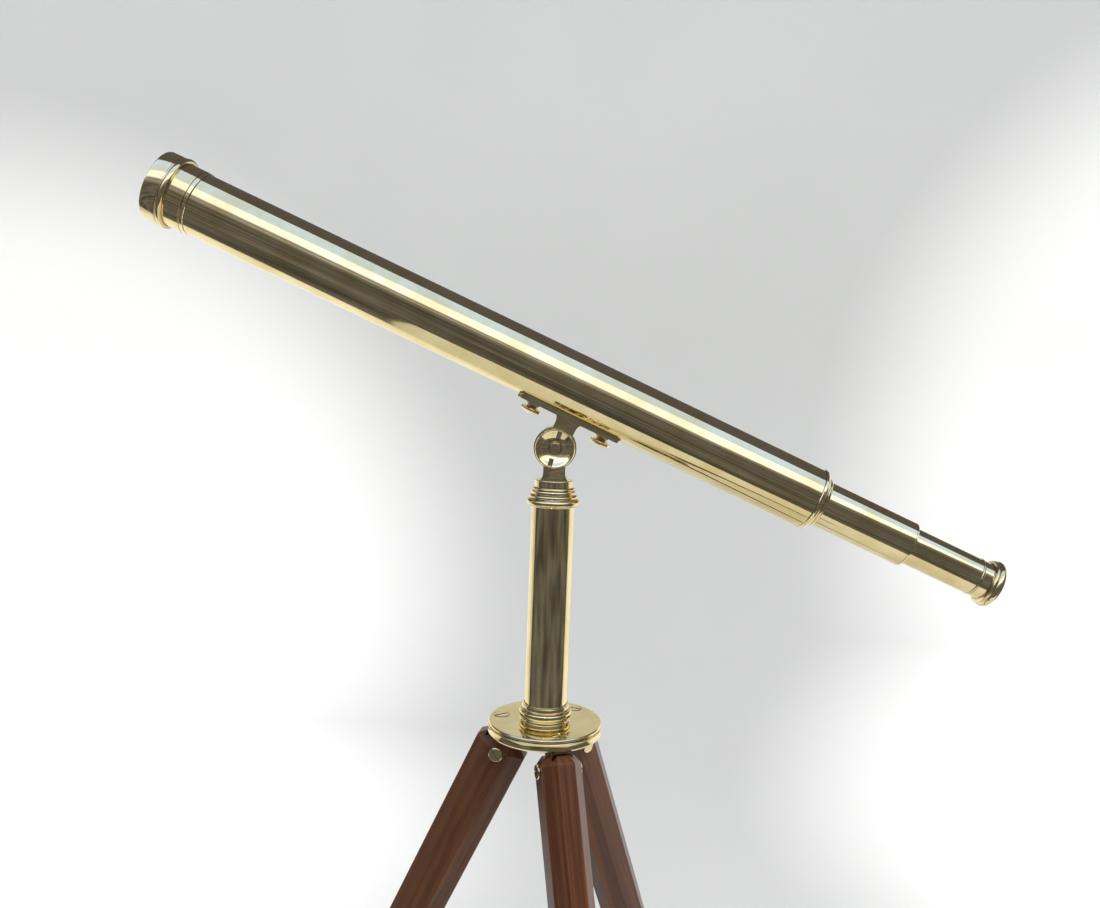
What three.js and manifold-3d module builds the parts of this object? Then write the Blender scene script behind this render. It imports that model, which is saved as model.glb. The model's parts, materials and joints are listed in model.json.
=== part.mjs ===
// A brass draw telescope on a tilting pillar mount and a three-legged wooden stand.
// Millimetres, +Z up. The floor is z = 0 and the origin is the middle of the outline on the floor.
import * as THREE from 'three';
import { mergeVertices } from 'three/addons/utils/BufferGeometryUtils.js';
import Module from 'manifold-3d';

const wasm = await Module();
wasm.setup();

// ---- driving dimensions ----
const GAP = 0.3;                        // clearance between neighbouring pieces
const PLATE_HEIGHT = 950;               // tripod plate's top face above the floor
const PIVOT_RISE = 258;                 // tilt axis above the tripod plate's top face
const AXIS_RISE = 59;                   // optical axis above the tilt axis
const TILT = THREE.MathUtils.degToRad(23.4);
const FIRST_LEG = THREE.MathUtils.degToRad(170);
const SPLAY = THREE.MathUtils.degToRad(24.5);

// Telescope, as distances along the optical axis from the tilt axis, eyepiece end positive.
const BARREL_RADIUS = 28.575;
const BARREL_BORE = 26.975;
const BARREL_FRONT = -384;
const BARREL_BACK = 231;
const COLLAR_RADIUS = 29.7;
const COLLAR_FRONT = -421;
const CELL_BORE = 24.8;
const LENS_BORE = 26;
const CAP_MOUTH = -404.4;
const CAP_FRONT = -425.2;
const CAP_RADIUS = 32.6;
const CAP_BEAD_RADIUS = 33.55;
const DRAW_ONE_RADIUS = 21.48;
const DRAW_ONE_BORE = 20.28;
const DRAW_ONE_FRONT = 145;
const DRAW_ONE_BACK = 329.3;
const DRAW_TWO_RADIUS = 17.6;
const DRAW_TWO_BORE = 16.5;
const DRAW_TWO_FRONT = 254;
const DRAW_TWO_BACK = 397;
const RIM_RADIUS = 22.4;
const RIM_START = 408.6;
const EYEPIECE_BACK = 418;

// Mount
const CRADLE_LENGTH = 102;
const CRADLE_WIDTH = 27.4;
const CRADLE_BOTTOM = AXIS_RISE - 31;
const CRADLE_CORNER = 5;
const THUMB_SPACING = 70;
const THUMB_SHANK = 2.4;
const THUMB_HOLE = THUMB_SHANK + GAP;
const THUMB_PLACES = [-THUMB_SPACING / 2, THUMB_SPACING / 2];
const KNUCKLE_RADIUS = 19.4;
const WEB_WIDTH = 20;
const LEAF_HALF = 5.5;
const WASHER_THICKNESS = 0.7;
const EAR_INNER = 6.4;
const EAR_OUTER = 11.6;
const BOLT_RADIUS = 5.5;
const NUT_RADIUS = 18.2;
const NUT_THICKNESS = 8.4;
const NUT_DISH = 25;                     // radius of the sphere that hollows the nut's face
const NUT_DISH_RIM = 16.2;
const NUT_NOTCHES = 4;

// Pillar
const PILLAR_RADIUS = 20;
const PILLAR_BORE = 18.5;
const PILLAR_TOP = 203.5;
const PILLAR_FOOT = 0.3;
const HEAD_TOP = 228;
const RING_RADIUS = 24.9;
const ROD_RADIUS = 4;
const COLLAR_TOP = 17.5;

// Tripod top
const PLATE_RADIUS = 54.2;
const PLATE_THICKNESS = 11.4;
const SCREW_CIRCLE = 42.2;
const SCREW_HEAD_RADIUS = 7.5;
const SCREW_RADIUS = 3;
const LUG_WIDTH = 20;
const LUG_HALF = 9.5;

// Legs, measured down each leg from its pivot
const PIVOT_CIRCLE = 42;
const PIVOT_DROP = 32;
const LEG_WIDTH = 38;
const LEG_DEPTH = 50;
const LEG_RISE = 13.4;
const LEG_BEVEL = 8.8;
const LEG_TAPER = 0.74;
const PIN_RADIUS = 3.5;
const PIN_HEAD_RADIUS = 6.75;
const PIN_HEAD_HEIGHT = 1.8;
const SLEEVE_RADIUS = 5;
const FERRULE_LENGTH = 48;
const FERRULE_WALL = 1.6;
const TIP_RADIUS = 11;
const TIP_LENGTH = 22;

// Segments round each kind of turned piece
const LARGE = 24;
const MEDIUM = 16;
const SMALL = 12;
const OCTAGON = 8;
const HEXAGON = 6;

// ---- materials ----
const metal = (color, roughness) => new THREE.MeshStandardMaterial({ color, roughness, metalness: 1 });
const brass = metal(0xc9a95f, 0.18);
const darkBrass = metal(0x8a6d3a, 0.4);
const blackened = new THREE.MeshStandardMaterial({ color: 0x15130f, roughness: 0.9, metalness: 0.2 });
const steel = metal(0x8d8f92, 0.35);
const wood = new THREE.MeshStandardMaterial({ color: 0x4a2a20, roughness: 0.45, metalness: 0 });
const glass = new THREE.MeshStandardMaterial({ color: 0xcfe3e0, roughness: 0.05, metalness: 0 });
const fibre = new THREE.MeshStandardMaterial({ color: 0x2a2018, roughness: 0.85, metalness: 0 });
const rubber = new THREE.MeshStandardMaterial({ color: 0x171717, roughness: 0.9, metalness: 0 });

// ---- shape helpers ----

// Welds a geometry, drops its zero-area triangles and turns its faces outward.
function closed(geometry) {
  geometry.deleteAttribute('normal');
  geometry.deleteAttribute('uv');
  const welded = mergeVertices(geometry, 1e-4);
  const position = welded.getAttribute('position');
  const index = welded.getIndex().array;
  const kept = [];
  let volume = 0;
  const [a, b, c] = [new THREE.Vector3(), new THREE.Vector3(), new THREE.Vector3()];
  for (let i = 0; i < index.length; i += 3) {
    const [p, q, r] = [index[i], index[i + 1], index[i + 2]];
    if (p === q || q === r || r === p) continue;
    kept.push(p, q, r);
    a.fromBufferAttribute(position, p);
    b.fromBufferAttribute(position, q);
    c.fromBufferAttribute(position, r);
    volume += a.dot(b.cross(c));
  }
  if (volume < 0) kept.reverse();
  welded.setIndex(kept);
  return welded;
}

function solidOf(geometry) {
  const vertProperties = new Float32Array(geometry.getAttribute('position').array);
  const triVerts = new Uint32Array(geometry.getIndex().array);
  return new wasm.Manifold(new wasm.Mesh({ numProp: 3, vertProperties, triVerts }));
}

function geometryOf(solid) {
  const mesh = solid.getMesh();
  const geometry = new THREE.BufferGeometry();
  geometry.setAttribute('position', new THREE.BufferAttribute(mesh.vertProperties, 3));
  geometry.setIndex(new THREE.BufferAttribute(mesh.triVerts, 1));
  return geometry;
}

const combine = (how, body, tools) =>
  geometryOf(tools.reduce((solid, tool) => solid[how](solidOf(tool)), solidOf(body)));
const cut = (body, ...tools) => combine('subtract', body, tools);
const join = (body, ...tools) => combine('add', body, tools);
const common = (body, ...tools) => combine('intersect', body, tools);

// A body turned about Y from a closed outline of [along, radius] points.
function turned(outline, segments, start = 0) {
  const points = outline.map(([along, radius]) => new THREE.Vector2(radius, along));
  points.push(points[0].clone());
  return closed(new THREE.LatheGeometry(points, segments, start));
}

const turnedAlongX = (outline, segments) => turned(outline, segments).rotateZ(-Math.PI / 2);
const turnedUpright = (outline, segments) => turned(outline, segments).rotateX(Math.PI / 2);

const rod = (radius, from, to, segments = SMALL) =>
  turned([[from, 0], [from, radius], [to, radius], [to, 0]], segments);
const rodX = (radius, from, to, segments) => rod(radius, from, to, segments).rotateZ(-Math.PI / 2);
const rodZ = (radius, from, to, segments) => rod(radius, from, to, segments).rotateX(Math.PI / 2);

// A tube outline, and a round-backed bead standing on a surface.
const sleeve = (from, to, inner, outer) => [[from, inner], [from, outer], [to, outer], [to, inner]];

function bead(from, to, base, top, points = 4) {
  const middle = (from + to) / 2;
  const half = (to - from) / 2;
  const outline = [];
  for (let i = 0; i <= points; i += 1) {
    const angle = Math.PI * (1 - i / points);
    outline.push([middle + half * Math.cos(angle), base + (top - base) * Math.sin(angle)]);
  }
  return outline;
}

const box = (low, high) => {
  const size = high.map((value, axis) => value - low[axis]);
  const middle = high.map((value, axis) => (value + low[axis]) / 2);
  return closed(new THREE.BoxGeometry(...size).translate(...middle));
};

// An outline drawn in X and Z, given a thickness along Y.
function slab(shape, from, to, curveSegments) {
  const options = { depth: to - from, bevelEnabled: false, curveSegments };
  const geometry = new THREE.ExtrudeGeometry(shape, options);
  return closed(geometry.rotateX(Math.PI / 2).translate(0, to, 0));
}

function piece(parent, name, geometry, material) {
  const mesh = new THREE.Mesh(geometry, material.clone());
  mesh.name = name;
  parent.add(mesh);
  return mesh;
}

// ---- groups ----
const telescope = new THREE.Group();
telescope.position.z = PIVOT_RISE;
telescope.rotation.y = TILT;
const optics = new THREE.Group();
optics.position.z = AXIS_RISE;
telescope.add(optics);

// ---- objective end ----
function addObjective() {
  const seat = BARREL_FRONT - 6;
  const cell = turnedAlongX([
    [BARREL_FRONT + 12, CELL_BORE],
    [BARREL_FRONT + 12, BARREL_BORE - GAP],
    [BARREL_FRONT - GAP, BARREL_BORE - GAP],
    [BARREL_FRONT - GAP, BARREL_RADIUS + 0.2],
    [BARREL_FRONT - 0.8, BARREL_RADIUS + 0.8],
    [BARREL_FRONT - 3.8, BARREL_RADIUS + 0.8],
    [BARREL_FRONT - 4.4, BARREL_RADIUS + 0.4],
    [BARREL_FRONT - 5, COLLAR_RADIUS],
    [COLLAR_FRONT + 1, COLLAR_RADIUS],
    [COLLAR_FRONT, COLLAR_RADIUS - 1],
    [COLLAR_FRONT, LENS_BORE],
    [seat, LENS_BORE],
    [seat, CELL_BORE],
  ], LARGE);
  piece(optics, 'objective_cell', cell, brass);

  const lensRadius = LENS_BORE - GAP;
  const flintBack = seat - GAP;
  const flintFront = flintBack - 4;
  const flint = turnedAlongX([
    [flintBack, 0], [flintBack, lensRadius], [flintFront - 1.6, lensRadius],
    [flintFront - 1.0, lensRadius * 0.8], [flintFront - 0.25, lensRadius * 0.4], [flintFront, 0],
  ], LARGE);
  piece(optics, 'objective_flint_lens', flint, glass);

  const crownBack = flintFront - GAP;
  const crown = turnedAlongX([
    [crownBack, 0], [crownBack - 0.25, lensRadius * 0.4], [crownBack - 1.0, lensRadius * 0.8],
    [crownBack - 1.6, lensRadius], [crownBack - 4, lensRadius],
    [crownBack - 6, lensRadius * 0.75], [crownBack - 7, lensRadius * 0.4], [crownBack - 7.3, 0],
  ], LARGE);
  piece(optics, 'objective_crown_lens', crown, glass);

  const ringBack = crownBack - 4 - 2 * GAP;
  const ring = turnedAlongX([
    [ringBack, lensRadius - 1.2], [ringBack, lensRadius],
    [ringBack - 5, lensRadius], [ringBack - 5, lensRadius - 2.6], [ringBack - 2, lensRadius - 2.6],
  ], LARGE);
  piece(optics, 'objective_retaining_ring', ring, darkBrass);

  const bore = COLLAR_RADIUS + GAP;
  const cap = turnedAlongX([
    [CAP_FRONT, 0],
    [CAP_FRONT, CAP_RADIUS - 1.6],
    [CAP_FRONT + 0.5, CAP_RADIUS - 0.5],
    [CAP_FRONT + 1.6, CAP_RADIUS],
    [CAP_MOUTH - 6, CAP_RADIUS],
    [CAP_MOUTH - 5.8, CAP_RADIUS + 0.3],
    [CAP_MOUTH - 5.2, CAP_RADIUS + 0.3],
    ...bead(CAP_MOUTH - 5, CAP_MOUTH, CAP_RADIUS - 0.6, CAP_BEAD_RADIUS),
    [CAP_MOUTH, bore],
    [COLLAR_FRONT - GAP, bore],
    [COLLAR_FRONT - GAP, 0],
  ], LARGE);
  piece(optics, 'objective_cap', cap, brass);
}

// ---- barrel and what is fixed in it ----
function addBarrel() {
  const tube = turnedAlongX(sleeve(BARREL_FRONT, BARREL_BACK, BARREL_BORE, BARREL_RADIUS), LARGE);
  const holes = THUMB_PLACES.map((x) => rodZ(THUMB_HOLE, -35, -20, SMALL).translate(x, 0, 0));
  piece(optics, 'main_barrel', cut(tube, ...holes), brass);

  const stripLength = CRADLE_LENGTH - 12;
  const stripTop = -BARREL_BORE + 3.3;
  const blank = box([-stripLength / 2, -7, -BARREL_BORE], [stripLength / 2, 7, stripTop]);
  const inside = rodX(BARREL_BORE - GAP, -stripLength, stripLength, LARGE);
  piece(optics, 'barrel_screw_strip', cut(common(blank, inside), ...holes), darkBrass);

  const stop = turnedAlongX([
    [-200, BARREL_BORE - GAP], [-194, BARREL_BORE - GAP],
    [-194, 19], [-195.5, 18], [-196, 18], [-196, 24], [-200, 25.5],
  ], LARGE);
  piece(optics, 'barrel_light_stop', stop, blackened);

  const guideBore = DRAW_ONE_RADIUS + GAP;
  const guideFront = 208;
  const endRing = turnedAlongX([
    [guideFront, guideBore],
    [guideFront, guideBore + 1.5],
    [BARREL_BACK - 2, guideBore + 1.5],
    [BARREL_BACK - 8, BARREL_BORE - GAP - 1.6],
    [BARREL_BACK - 12, BARREL_BORE - GAP - 1.6],
    [BARREL_BACK - 12, BARREL_BORE - GAP],
    [BARREL_BACK + GAP, BARREL_BORE - GAP],
    [BARREL_BACK + GAP, BARREL_RADIUS + 0.5],
    [BARREL_BACK + 1, BARREL_RADIUS + 0.95],
    [BARREL_BACK + 2.6, BARREL_RADIUS + 0.8],
    [BARREL_BACK + 5, BARREL_RADIUS - 1],
    [BARREL_BACK + 6.6, BARREL_RADIUS - 3.2],
    [BARREL_BACK + 7, BARREL_RADIUS - 3.8],
    [BARREL_BACK + 8.8, BARREL_RADIUS - 4.2],
    [BARREL_BACK + 10.2, BARREL_RADIUS - 5.6],
    [BARREL_BACK + 10.5, guideBore],
  ], LARGE);
  piece(optics, 'barrel_end_ring', endRing, brass);
}

// ---- draw tubes ----
function addDrawTubes() {
  const flange = 1.5;
  const tubeOneBack = DRAW_ONE_BACK - flange - GAP;
  const tubeOne = sleeve(DRAW_ONE_FRONT, tubeOneBack, DRAW_ONE_BORE, DRAW_ONE_RADIUS);
  piece(optics, 'draw_tube_1', turnedAlongX(tubeOne, LARGE), brass);
  const slip = GAP + 0.1;
  const stop = 6;
  const stopOne = sleeve(DRAW_ONE_FRONT, DRAW_ONE_FRONT + stop, DRAW_ONE_RADIUS + GAP, BARREL_BORE - slip);
  piece(optics, 'draw_tube_1_stop_ring', turnedAlongX(stopOne, LARGE), darkBrass);

  const bushBore = DRAW_TWO_RADIUS + GAP;
  const bush = turnedAlongX([
    [DRAW_ONE_BACK - 29, bushBore],
    [DRAW_ONE_BACK - 29, DRAW_ONE_BORE - GAP],
    [DRAW_ONE_BACK - flange, DRAW_ONE_BORE - GAP],
    [DRAW_ONE_BACK - flange, DRAW_ONE_RADIUS],
    [DRAW_ONE_BACK - 0.4, DRAW_ONE_RADIUS],
    [DRAW_ONE_BACK, DRAW_ONE_RADIUS - 0.6],
    [DRAW_ONE_BACK, bushBore],
  ], LARGE);
  piece(optics, 'draw_tube_1_end_bush', bush, brass);

  const tubeTwo = sleeve(DRAW_TWO_FRONT, DRAW_TWO_BACK, DRAW_TWO_BORE, DRAW_TWO_RADIUS);
  piece(optics, 'draw_tube_2', turnedAlongX(tubeTwo, LARGE), brass);
  const stopTwo = sleeve(DRAW_TWO_FRONT, DRAW_TWO_FRONT + stop, DRAW_TWO_RADIUS + GAP, DRAW_ONE_BORE - slip);
  piece(optics, 'draw_tube_2_stop_ring', turnedAlongX(stopTwo, LARGE), darkBrass);
}

// ---- erector cell and eyepiece ----
function biconvex(middle, radius, edge, bulge) {
  return turnedAlongX([
    [middle - edge / 2 - bulge, 0], [middle - edge / 2 - bulge * 0.8, radius * 0.45],
    [middle - edge / 2, radius], [middle + edge / 2, radius],
    [middle + edge / 2 + bulge * 0.8, radius * 0.45], [middle + edge / 2 + bulge, 0],
  ], MEDIUM);
}

function addErector() {
  const from = DRAW_TWO_FRONT - 39;
  const to = from + 115;
  const bore = DRAW_TWO_BORE - GAP - 1.6;
  const lip = 1.5;
  const tube = turnedAlongX([
    [from, bore - lip], [from, DRAW_TWO_BORE - GAP], [to, DRAW_TWO_BORE - GAP], [to, bore - lip],
    [to - lip, bore - lip], [to - lip, bore], [from + lip, bore], [from + lip, bore - lip],
  ], MEDIUM);
  piece(optics, 'erector_tube', tube, darkBrass);
  const lensRadius = bore - GAP;
  piece(optics, 'erector_front_lens', biconvex(from + lip + 3.5, lensRadius, 2.4, 1.8), glass);
  piece(optics, 'erector_rear_lens', biconvex(to - lip - 3.5, lensRadius, 2.4, 1.8), glass);
  const middle = (from + to) / 2;
  const stop = turnedAlongX([
    [middle - 3, lensRadius - 1.5], [middle - 3, lensRadius], [middle + 3, lensRadius],
    [middle + 3, lensRadius - 1.5], [middle + 0.8, lensRadius - 1.5], [middle + 0.8, 4],
    [middle - 0.8, 4], [middle - 0.8, lensRadius - 1.5],
  ], MEDIUM);
  piece(optics, 'erector_light_stop', stop, blackened);
}

function addEyepiece() {
  const shoulder = DRAW_TWO_BACK + GAP;
  const capSeat = shoulder + 1.9;
  const thread = 16;
  const body = turnedAlongX([
    [DRAW_TWO_BACK - 13, 13.6],
    [DRAW_TWO_BACK - 13, DRAW_TWO_BORE - GAP],
    [shoulder, DRAW_TWO_BORE - GAP],
    [shoulder, DRAW_TWO_RADIUS],
    [shoulder + 0.3, DRAW_TWO_RADIUS + 0.45],
    [shoulder + 1.1, DRAW_TWO_RADIUS + 0.45],
    [shoulder + 1.4, DRAW_TWO_RADIUS],
    [capSeat, DRAW_TWO_RADIUS],
    [capSeat, thread],
    [capSeat + 6, thread],
    [capSeat + 6, 8.8],
    [capSeat + 2, 8.8],
    [capSeat + 2, 7.4],
    [capSeat + 0.5, 7.4],
    [capSeat + 0.5, 13.6],
  ], MEDIUM);
  piece(optics, 'eyepiece_body', body, brass);

  piece(optics, 'field_lens', biconvex(DRAW_TWO_BACK - 8, 13.6 - GAP, 2, 1.6), glass);
  piece(optics, 'eye_lens', biconvex(capSeat + 4, 8.8 - GAP, 1.6, 0.8), glass);

  const capFront = capSeat + GAP;
  const wall = capSeat + 6 + GAP;
  const eyeCap = turnedAlongX([
    [capFront, thread + GAP],
    [capFront, DRAW_TWO_RADIUS],
    [RIM_START, DRAW_TWO_RADIUS],
    [RIM_START + 0.3, RIM_RADIUS - 2.2],
    [RIM_START + 1.4, RIM_RADIUS - 1.4],
    [RIM_START + 2.6, RIM_RADIUS - 1.6],
    [RIM_START + 3, RIM_RADIUS - 2.2],
    [RIM_START + 3.6, RIM_RADIUS - 1],
    [RIM_START + 5.2, RIM_RADIUS],
    [EYEPIECE_BACK - 2.2, RIM_RADIUS],
    [EYEPIECE_BACK - 0.6, RIM_RADIUS - 1.1],
    [EYEPIECE_BACK, RIM_RADIUS - 3],
    [EYEPIECE_BACK - 0.6, RIM_RADIUS - 5],
    [EYEPIECE_BACK - 3, 12],
    [EYEPIECE_BACK - 4, 6],
    [wall, 6],
    [wall, thread + GAP],
  ], LARGE);
  piece(optics, 'eye_cap', eyeCap, brass);
}

// ---- cradle, thumbscrews and tilt joint ----
function cradleOutline() {
  const [x, y, c] = [CRADLE_LENGTH / 2, CRADLE_WIDTH / 2, CRADLE_CORNER];
  const shape = new THREE.Shape();
  shape.moveTo(-x + c, -y);
  shape.lineTo(x - c, -y);
  shape.lineTo(x, -y + c);
  shape.lineTo(x, y - c);
  shape.lineTo(x - c, y);
  shape.lineTo(-x + c, y);
  shape.lineTo(-x, y - c);
  shape.lineTo(-x, -y + c);
  return shape;
}

// A web that joins the knuckle disc to a wider seat, in the XZ plane. side is +1 up or -1 down.
function webShape(seatHalf, seat, side) {
  const half = WEB_WIDTH / 2;
  const shape = new THREE.Shape();
  shape.moveTo(-seatHalf, side * seat);
  shape.quadraticCurveTo(-half, side * (seat - 3), -half, side * (seat - 8));
  shape.lineTo(-half, 0);
  shape.lineTo(half, 0);
  shape.lineTo(half, side * (seat - 8));
  shape.quadraticCurveTo(half, side * (seat - 3), seatHalf, side * seat);
  return shape;
}

function addCradle() {
  const plateTop = CRADLE_BOTTOM + 5.6;
  const plate = closed(new THREE.ExtrudeGeometry(cradleOutline(), {
    depth: plateTop - CRADLE_BOTTOM, bevelEnabled: false,
  }).translate(0, 0, CRADLE_BOTTOM));
  const seat = rodX(BARREL_RADIUS + GAP, -CRADLE_LENGTH, CRADLE_LENGTH, LARGE).translate(0, 0, AXIS_RISE);
  const web = slab(webShape(13, CRADLE_BOTTOM + 0.5, 1), -LEAF_HALF, LEAF_HALF, 4);
  const knuckle = rod(KNUCKLE_RADIUS, -LEAF_HALF, LEAF_HALF, LARGE);
  const hole = rod(BOLT_RADIUS + GAP, -30, 30, MEDIUM);
  const bore = rodZ(THUMB_HOLE, CRADLE_BOTTOM - 5, AXIS_RISE, SMALL);
  const holes = THUMB_PLACES.map((x) => bore.clone().translate(x, 0, 0));
  piece(telescope, 'cradle', cut(join(plate, web, knuckle), seat, hole, ...holes), brass);

  const top = CRADLE_BOTTOM - GAP;
  const names = ['thumbscrew_front', 'thumbscrew_rear'];
  THUMB_PLACES.forEach((x, i) => {
    const screw = turnedUpright([
      [AXIS_RISE - 24.4, 0],
      [AXIS_RISE - 24.4, THUMB_SHANK],
      [top, THUMB_SHANK],
      [top, 7.1],
      [top - 1.3, 7.1],
      [top - 2.2, 4.9],
      [top - 3.6, 4.9],
      [top - 4.6, 8.8],
      [top - 5.6, 9.8],
      [top - 7, 9.8],
      [top - 8, 8.2],
      [top - 10, 3.4],
      [top - 10.4, 0],
    ], MEDIUM);
    piece(telescope, names[i], screw.translate(x, 0, 0), brass);
  });
}

const tiltJoint = new THREE.Group();
tiltJoint.position.z = PIVOT_RISE;

// How far the nut's hollowed face lies below its rim at a radius.
function dishDepth(radius) {
  return Math.sqrt(NUT_DISH ** 2 - radius ** 2) - Math.sqrt(NUT_DISH ** 2 - NUT_DISH_RIM ** 2);
}

function addTiltJoint() {
  const washerFrom = LEAF_HALF + 0.1;
  const washer = turned(sleeve(washerFrom, washerFrom + WASHER_THICKNESS, BOLT_RADIUS + GAP, 18), MEDIUM);
  piece(tiltJoint, 'tilt_washer_rear', washer, fibre);
  piece(tiltJoint, 'tilt_washer_front', washer.clone().rotateZ(Math.PI), fibre);

  const headFrom = EAR_OUTER + 0.1;
  const nutEnd = EAR_OUTER + 0.1 + NUT_THICKNESS;
  const boltEnd = 2.6 - nutEnd;
  const bolt = turned([
    [boltEnd, 0], [boltEnd, BOLT_RADIUS - 1], [boltEnd + 1, BOLT_RADIUS],
    [headFrom, BOLT_RADIUS], [headFrom, 15], [headFrom + 3, 15], [headFrom + 4.6, 13.4], [headFrom + 5, 0],
  ], MEDIUM);
  const slot = box([-20, headFrom + 2.8, -0.9], [20, headFrom + 8, 0.9]);
  piece(tiltJoint, 'tilt_bolt', cut(bolt, slot), brass);

  const nut = turned([
    [-headFrom, BOLT_RADIUS + GAP], [-headFrom, NUT_RADIUS - 0.8], [-headFrom - 0.8, NUT_RADIUS],
    [-nutEnd + 1.2, NUT_RADIUS], [-nutEnd, NUT_RADIUS - 0.9],
    ...[NUT_DISH_RIM, 13, 9.5, BOLT_RADIUS + GAP].map((r) => [-nutEnd + dishDepth(r), r]),
  ], LARGE);
  const notches = [];
  for (let i = 0; i < NUT_NOTCHES; i += 1) {
    const notch = box([-2.1, -nutEnd - 1, 9.6], [2.1, -headFrom - 1.6, NUT_DISH_RIM]);
    notches.push(notch.rotateY(THREE.MathUtils.degToRad(15) + (i * 2 * Math.PI) / NUT_NOTCHES));
  }
  piece(tiltJoint, 'tilt_nut', cut(nut, ...notches), brass);
}

// ---- pillar ----
const pillar = new THREE.Group();

function addPillar() {
  const spigot = PILLAR_TOP - 16;
  const finial = turnedUpright([
    [spigot, 0],
    [spigot, PILLAR_BORE - GAP],
    [PILLAR_TOP + GAP, PILLAR_BORE - GAP],
    [PILLAR_TOP + GAP, 22.6],
    [PILLAR_TOP + 1.4, 24.2],
    [PILLAR_TOP + 3.8, RING_RADIUS],
    [PILLAR_TOP + 6.2, 24.2],
    [PILLAR_TOP + 7.6, 22.7],
    [PILLAR_TOP + 10.4, 22.2],
    [PILLAR_TOP + 11.6, 20.8],
    [PILLAR_TOP + 14.8, 20.6],
    [PILLAR_TOP + 16.4, 19.8],
    [PILLAR_TOP + 17.2, 18],
    [HEAD_TOP, 18],
    [HEAD_TOP, 0],
  ], LARGE);
  const seat = PIVOT_RISE - HEAD_TOP + 0.5;
  const web = slab(webShape(13.4, seat, -1), -EAR_OUTER, EAR_OUTER, 4).translate(0, 0, PIVOT_RISE);
  const ears = rod(KNUCKLE_RADIUS, -EAR_OUTER, EAR_OUTER, LARGE).translate(0, 0, PIVOT_RISE);
  const slotFloor = PIVOT_RISE - KNUCKLE_RADIUS - 1.4;
  const slot = box([-30, -EAR_INNER, slotFloor], [30, EAR_INNER, PIVOT_RISE + 30]);
  const hole = rod(BOLT_RADIUS + GAP, -30, 30, MEDIUM).translate(0, 0, PIVOT_RISE);
  const socket = rodZ(ROD_RADIUS + GAP, spigot - 5, spigot + 14, SMALL);
  piece(pillar, 'pillar_head', cut(join(finial, web, ears), slot, hole, socket), brass);

  const tube = turnedUpright(sleeve(PILLAR_FOOT, PILLAR_TOP, PILLAR_BORE, PILLAR_RADIUS), LARGE);
  piece(pillar, 'pillar_tube', tube, brass);
  const plug = turnedUpright(sleeve(PILLAR_FOOT, 14, ROD_RADIUS + GAP, PILLAR_BORE - GAP), LARGE);
  piece(pillar, 'pillar_foot_plug', plug, darkBrass);

  const under = -PLATE_THICKNESS;
  piece(pillar, 'pillar_tie_rod', rodZ(ROD_RADIUS, under - 13, spigot + 12, SMALL), steel);
  const washer = sleeve(under - 2.1, under - 0.1, ROD_RADIUS + GAP, 13);
  piece(pillar, 'tie_rod_washer', turnedUpright(washer, MEDIUM), steel);
  const nutBlank = rodZ(8, under - 9, under - 2.2, HEXAGON);
  piece(pillar, 'tie_rod_nut', cut(nutBlank, rodZ(ROD_RADIUS + GAP, under - 20, 0, SMALL)), steel);
}

// ---- tripod top ----
const tripodTop = new THREE.Group();

function addTripodTop() {
  const bore = PILLAR_RADIUS + GAP;
  const collar = turnedUpright([
    [0.1, bore],
    [0.1, 24],
    [1.6, 24],
    [2.1, 23],
    [4.6, 23.4],
    ...bead(5.2, 11, 23.4, RING_RADIUS),
    [11.3, 21.9],
    [12.4, 22.3],
    [15.4, 22.3],
    [16.6, 21.4],
    [COLLAR_TOP, 21.2],
    [COLLAR_TOP, bore],
  ], LARGE);
  piece(tripodTop, 'pillar_collar', collar, brass);

  const bottom = -PLATE_THICKNESS;
  const blank = turnedUpright([
    [0, 0],
    [0, PLATE_RADIUS - 1.6],
    [-0.7, PLATE_RADIUS - 0.9],
    [-2.2, PLATE_RADIUS - 0.9],
    [-2.8, PLATE_RADIUS - 1.7],
    [-3.6, PLATE_RADIUS - 0.5],
    [-5.6, PLATE_RADIUS],
    [-7.4, PLATE_RADIUS],
    [-8.2, PLATE_RADIUS - 0.5],
    [bottom, PLATE_RADIUS - 0.5],
    [bottom, 0],
  ], LARGE);
  const holes = [rodZ(ROD_RADIUS + GAP, bottom - 1, 1, SMALL)];
  for (let i = 0; i < 3; i += 1) {
    const angle = FIRST_LEG + (i * 2 * Math.PI) / 3;
    const [x, y] = [SCREW_CIRCLE * Math.cos(angle), SCREW_CIRCLE * Math.sin(angle)];
    const sink = turnedUpright([
      [bottom - 1, 0], [bottom - 1, SCREW_RADIUS + GAP], [-5.1, SCREW_RADIUS + GAP],
      [-0.6, SCREW_HEAD_RADIUS + GAP], [1, SCREW_HEAD_RADIUS + GAP], [1, 0],
    ], MEDIUM);
    holes.push(sink.translate(x, y, 0));
    const screw = turnedUpright([
      [bottom - 9, 0], [bottom - 9, SCREW_RADIUS], [-4.9, SCREW_RADIUS],
      [-0.5, SCREW_HEAD_RADIUS], [0.2, SCREW_HEAD_RADIUS], [0.6, SCREW_HEAD_RADIUS - 1.4], [0.6, 0],
    ], MEDIUM);
    const slot = box([-12, -0.8, -1.1], [12, 0.8, 3]).rotateZ(0.6 + 1.1 * i);
    piece(tripodTop, `plate_screw_${i + 1}`, cut(screw, slot).translate(x, y, 0), brass);
  }
  piece(tripodTop, 'tripod_plate', cut(blank, ...holes), brass);
}

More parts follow.
